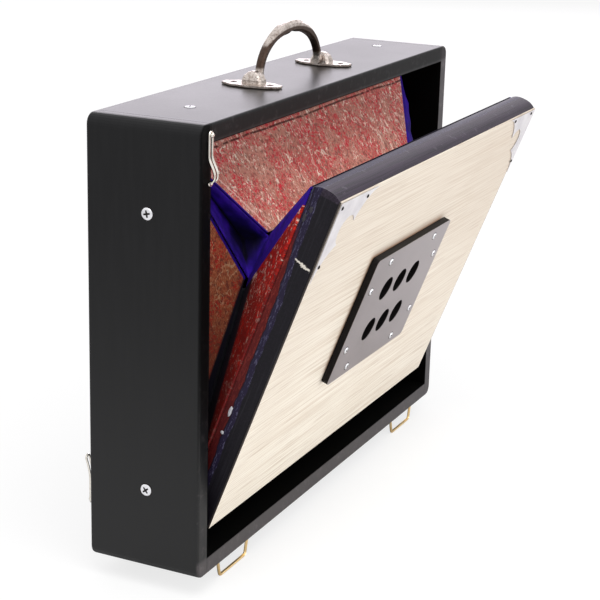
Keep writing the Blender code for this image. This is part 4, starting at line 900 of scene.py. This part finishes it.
# Painted shade: the blue cloth is painted nearly black deep in each corner and along its creases.
blue_cloth = weave("blue_bellows_cloth", (0.044, 0.006, 0.40), (0.014, 0.002, 0.15), corner_crease_shade)
finish_nodes(blue_cloth, "bellows_gusset_left", "bellows_gusset_right")


def from_line(point, a, b):
    """How far a point is from the line between a and b."""
    along = b - a
    share = max(0.0, min(1.0, (point - a).dot(along) / along.length_squared))
    return (point - a - along * share).length


def nearest_line(point, lines):
    return min(from_line(point, a, b) for a, b in lines)


def cut_fine(triangles, cuts):
    """Points and faces of the triangles, cut finely, with the shared points joined."""
    points, faces, seen = [], [], {}

    def index(point):
        key = tuple(round(c, 6) for c in point)
        if key not in seen:
            seen[key] = len(points)
            points.append(point.copy())
        return seen[key]

    for a, b, c in triangles:
        rows = [
            [index(a + (b - a) * (i / cuts) + (c - b) * (j / cuts)) for j in range(i + 1)]
            for i in range(cuts + 1)
        ]
        for i in range(cuts):
            for j in range(i + 1):
                faces.append((rows[i][j], rows[i + 1][j], rows[i + 1][j + 1]))
                if j < i:
                    faces.append((rows[i][j], rows[i + 1][j + 1], rows[i][j + 1]))
    return points, faces


facets = (
    (REAR_CORNER, POCKET, TOP_END), (REAR_CORNER, SIDE_END, POCKET), (TOP_END, POCKET, SIDE_END),
    (TOP_END, HOLLOW, FRONT_CORNER), (TOP_END, SIDE_END, HOLLOW), (SIDE_END, FRONT_CORNER, HOLLOW),
)
edges = (
    (REAR_CORNER, TOP_END), (REAR_CORNER, SIDE_END), (FRONT_CORNER, TOP_END), (FRONT_CORNER, SIDE_END),
)
top_edge, side_edge = edges[:2]
for side, name in SIDES:
    points, faces = cut_fine(facets, CORNER_CUTS)
    for i, point in enumerate(points):
        off = nearest_line(point, edges)
        rise = HEM_RISE * min(1, off / HEM_START) * max(0, 1 - abs(off - HEM_START) / HEM)
        rise += ruffle(point, 150 + side, 0.0014) * min(1, off / 0.006)
        rise += ruffle(point, 420, 0.0005) * min(1, off / 0.003)
        from_top = from_line(point, *top_edge)
        roll = min(1, from_top / ROLL_START) * max(0, 1 - max(0, from_top - ROLL_START) / ROLL_WIDTH) ** 2
        roll *= min(1, nearest_line(point, edges[1:]) / 0.008)
        lap = max(0, 1 - from_line(point, *side_edge) / LAP_WIDTH)
        lap *= min(1, nearest_line(point, edges[:1] + edges[2:]) / 0.01)
        moved = point - INWARD * (rise + LAP_RISE * lap)
        moved = moved + CARD_OUTWARD * roll * ROLL[side] + SIDE_LAP * lap
        points[i] = Vector((-side * moved.x, moved.y, moved.z))
    if side == 1:
        faces = [face[::-1] for face in faces]
    gusset = built(f"bellows_corner_cloth_{name}", points, faces, blue_cloth, thick=CORNER_THICK)
    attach(gusset, "case")
    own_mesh(gusset)
    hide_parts("bellows_gusset_" + name)

FOLD_STEPS, FOLD_SHORT_SIDE, FOLD_THICK = 60, 0.010, 0.0005
TOP_FOLD_HALF = 0.12
TOP_FOLD_LINES = ((-0.04523, 0.21653), (-0.04636, 0.21453), (-0.04807, 0.21606))
SIDE_FOLD_LINES = (
    ((0.17642, -0.01427, 0.05387), (0.14362, -0.03787, 0.18308)),
    ((0.17413, -0.01592, 0.05383), (0.14133, -0.03951, 0.18304)),
    ((0.17603, -0.01775, 0.05482), (0.14323, -0.04135, 0.18403)),
)


def side_fold(side):
    """The ends of a side fold's rear, middle and front lines."""
    return [[Vector((side * x, y, z)) for x, y, z in line] for line in SIDE_FOLD_LINES]


finish_nodes(black_cloth, "bellows_fold_top", "bellows_fold_left", "bellows_fold_right")
top_fold = [[Vector((side * TOP_FOLD_HALF, y, z)) for side in (-1, 1)] for y, z in TOP_FOLD_LINES]
for name, lines, fold_sag, wide in (
    ("top", top_fold, 0.0002, 0.0055),
    ("left", side_fold(-1), 0.0012, 0.0080),
    ("right", side_fold(1), 0.0012, 0.0080),
):
    carrier = f"bellows_card_{name}_rear"
    rows = []
    for i in range(FOLD_STEPS + 1):
        rear, middle, front = (low.lerp(high, i / FOLD_STEPS) for low, high in lines)
        sag = (middle - (rear + front) / 2).normalized() * fold_sag
        rear_half, front_half = (end.lerp(middle, 0.5) + sag * 0.7 for end in (rear, front))
        row = [rear, rear_half, middle + sag, front_half, front]
        rows.append([p + Vector((0, ruffle(p, 130, 0.0004), 0)) for p in row])
    length = (lines[0][1] - lines[0][0]).length
    body = nodes[carrier]["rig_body"]
    fold = built(f"bellows_fold_cloth_{name}", *grid(rows), black_cloth, body, thick=FOLD_THICK)
    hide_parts("bellows_fold_" + name)


# Glue: dried drops on the pump board where its cloth was stuck down by hand.
# White ones sit low on the left side, black ones near the top and along the top edge.

LUMP_HEIGHT = 0.2468


def dab(name, matrix, size, finish):
    """A small uneven lump on the pump board, flat underneath."""
    form = bmesh.new()
    bmesh.ops.create_icosphere(form, subdivisions=3, radius=1.0)
    for vert in form.verts:
        swell = 1 + ruffle(vert.co, 1.7, 0.35)
        x, y, z = vert.co
        vert.co = Vector((x * size[0] * swell, y * size[1] * swell, max(z, -0.1) * size[2]))
    points = [matrix @ v.co for v in form.verts]
    faces = [tuple(v.index for v in f.verts) for f in form.faces]
    form.free()
    built(name, points, faces, finish, "pump_board")


def dried(name, rough, light, dark):
    finish = Finish(name, Roughness=rough)
    finish.drive("Base Color", finish.mix(finish.noise(finish.place(), 900.0), dark, light))
    return finish


glue = dried("dried_glue", 0.35, (0.62, 0.62, 0.66), (0.42, 0.42, 0.45))
black_glue = dried("black_glue", 0.3, (0.03, 0.026, 0.04), (0.006, 0.005, 0.009))
side_dabs = (
    (-0.0056, 0.0856, 0.0040, glue),
    (-0.0058, 0.0690, 0.0013, glue),
    (-0.0036, 0.2280, 0.0030, black_glue),
    (-0.0058, 0.2345, 0.0022, black_glue),
)
sideways = Matrix.Rotation(math.radians(-90), 4, "Y")
for i, (y, z, length, look) in enumerate(side_dabs):
    matrix = pump_frame @ Matrix.Translation((-BOARD_HALF, y, z)) @ sideways
    dab(f"glue_dab_{i + 1}", matrix, (length, 0.0011, 0.0006), look)
top_lumps = ((0.176, -0.0040, 0.0048), (0.158, -0.0028, 0.0022), (-0.170, -0.0030, 0.0034))
for i, (x, y, length) in enumerate(top_lumps):
    matrix = pump_frame @ Matrix.Translation((x, y, LUMP_HEIGHT))
    dab(f"glue_lump_{i + 1}", matrix, (length, 0.0013, 0.0012), black_glue)


# Screws and nails: low domed screws with a cross recess, of bright zinc and, in the handle, dark.
# Small dark nails hold the corner plates. Each head sits in a ring of painted shadow, and each cross recess
# is painted dark as shade.

zinc = metal("zinc_screw", (0.90, 0.90, 0.93), (0.55, 0.55, 0.60), 0.24, 0.4, 900.0)
dark_handle_screw = metal("worn_screw", (0.13, 0.10, 0.085), (0.02, 0.014, 0.010), 0.35, 0.9, 1400.0)
# One dark finish makes the nails and paints the shade in the cross recesses and the shadow rings.
grime = Finish("recess_grime", Roughness=0.9, Metallic=0.0)
specks = grime.noise(grime.place(), 700.0)
grime.drive("Base Color", grime.mix(specks, (0.004, 0.003, 0.003), (0.02, 0.015, 0.012)))
ARM_TIP, ARM_HALF, ARM_ROOT = 0.60, 0.13, 0.169
SHADOW_RING_RISE = 0.00006
INLET_PLATE_FACE, CORNER_PLATE_FACE, CORNER_PLATE_TOP, STOP_FACE = -0.0272, -0.0226, 0.2476, 0.0298
HANDLE_PLATE_THICK, HANDLE_SCREW_ASIDE, HANDLE_SCREW_BACK = 0.0016, 0.05775, 0.014
SCREW_CORNERS = ((ARM_TIP, 0), (ARM_TIP, ARM_HALF), (ARM_ROOT, ARM_ROOT), (ARM_HALF, ARM_TIP))


def facing(place, normal, spin=0.0, frame=Matrix.Identity(4)):
    """A screw's own frame, with Z out of the surface that it is in."""
    turn = Vector(normal).to_track_quat("Z", "Y").to_matrix().to_4x4()
    return frame @ Matrix.Translation(place) @ turn @ Matrix.Rotation(math.radians(spin), 4, "Z")


def screw(name, matrix, radius, rise, finish, body, cross=True, halo=1.16):
    """A low dome with a cross recess painted dark as shade, and a ring of painted shadow where the head
    meets the surface.
    """
    corners = []
    for quarter in range(4):
        for x, y in SCREW_CORNERS:
            for _ in range(quarter):
                x, y = -y, x
            corners.append((x, y))
    star = []
    for a, b in zip(corners, corners[1:] + corners[:1]):
        star += [a, ((a[0] + b[0]) / 2, (a[1] + b[1]) / 2)]
    disc = [(x / math.hypot(x, y), y / math.hypot(x, y)) for x, y in star]
    levels = [(1.0, 0.0), (1.0, 0.3), (0.93, 0.66), (0.80, 0.90)]
    if not cross:
        levels += [(0.5, 1.0), (0.2, 1.05)]
    rows = [[(x * r * radius, y * r * radius, h * rise) for x, y in disc] for r, h in levels]
    if cross:
        rows.append([(x * radius, y * radius, rise) for x, y in star])
        rows.append([(x * radius * 0.8, y * radius * 0.8, rise * 0.25) for x, y in star])
    points, faces = grid(rows, True)
    count = len(star)
    dark = len(faces) - count if cross else len(faces)
    faces.append(tuple(len(points) - count + k for k in range(count)))
    ring = len(points)
    points += [(x * r * radius, y * r * radius, SHADOW_RING_RISE) for r in (0.96, halo) for x, y in disc]
    solid_faces = len(faces)
    for k in range(count):
        after = (k + 1) % count
        faces.append((ring + k, ring + count + k, ring + count + after, ring + after))
    made = built(name, [matrix @ Vector(p) for p in points], faces, finish, sharp=38)
    made.data.materials.append(grime.material)
    for i, face in enumerate(made.data.polygons):
        if i >= solid_faces or (cross and i >= dark):
            face.material_index = 1
    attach(made, body)


SIDE_SCREWS = ((-0.0029, 0.2413, 12), (-0.0019, 0.0563, 38))
for side, name in SIDES:
    for i, (y, z, spin) in enumerate(SIDE_SCREWS):
        matrix = facing((side * CASE_WIDTH / 2, y, z), (side, 0, 0), spin)
        screw(f"side_screw_{name}_{i + 1}", matrix, 0.0040, 0.0007, zinc, "case")
for i, (x, y, spin) in enumerate(((-0.1525, -0.0033, 20), (0.1656, 0.0039, 70))):
    matrix = facing((x, y, CASE_HEIGHT), (0, 0, 1), spin)
    screw(f"top_screw_{i + 1}", matrix, 0.0034, 0.0005, zinc, "case")
for side, name in SIDES:
    for end, end_name in ((-1, "front"), (1, "rear")):
        across = HANDLE_ASIDE + side * HANDLE_SCREW_ASIDE
        place = (across, end * HANDLE_SCREW_BACK, CASE_HEIGHT + HANDLE_PLATE_THICK)
        matrix = facing(place, (0, 0, 1), 30 * end + 10 * side)
        key = f"handle_screw_{name}_{end_name}"
        screw(key, matrix, 0.0026, 0.0006, dark_handle_screw, "case", halo=1.25)
PLATE_SCREWS = ((-0.0403, 0.0432), (0.0403, 0.0432), (0.0578, 0.024), (-0.0578, 0.024))
PLATE_SCREWS += tuple((x, -z) for x, z in PLATE_SCREWS)
for i, (x, z) in enumerate(PLATE_SCREWS):
    place = (PLATE_ASIDE + x, INLET_PLATE_FACE, PLATE_MIDDLE + z)
    matrix = facing(place, (0, -1, 0), 33 * i, pump_frame)
    screw(f"plate_screw_{i + 1}", matrix, 0.0025, 0.0008, zinc, "pump_board", halo=1.22)
NAILS = {
    "left": ((0.0040, 0.0045), (0.0420, 0.0045), (0.0045, 0.0460)),
    "right": ((0.0086, 0.0028), (0.0460, 0.0032), (0.0045, 0.0460)),
}
for side, name in SIDES:
    for i, (inward, down) in enumerate(NAILS[name]):
        place = (side * (BOARD_HALF - inward), CORNER_PLATE_FACE, CORNER_PLATE_TOP - down)
        matrix = facing(place, (0, -1, 0), 0, pump_frame)
        key = f"corner_nail_{name}_{i + 1}"
        screw(key, matrix, 0.0011, 0.0006, grime, "pump_board", False, 1.3)
for i, name in enumerate(stop_names):
    x, y, z = joints[name + "_turn"]["pos_m"]
    matrix = facing((x, STOP_FACE, z), (0, 1, 0), 47 * i)
    screw(f"stop_screw_{i + 1:02d}", matrix, 0.0024, 0.0007, zinc, "case", halo=1.05)
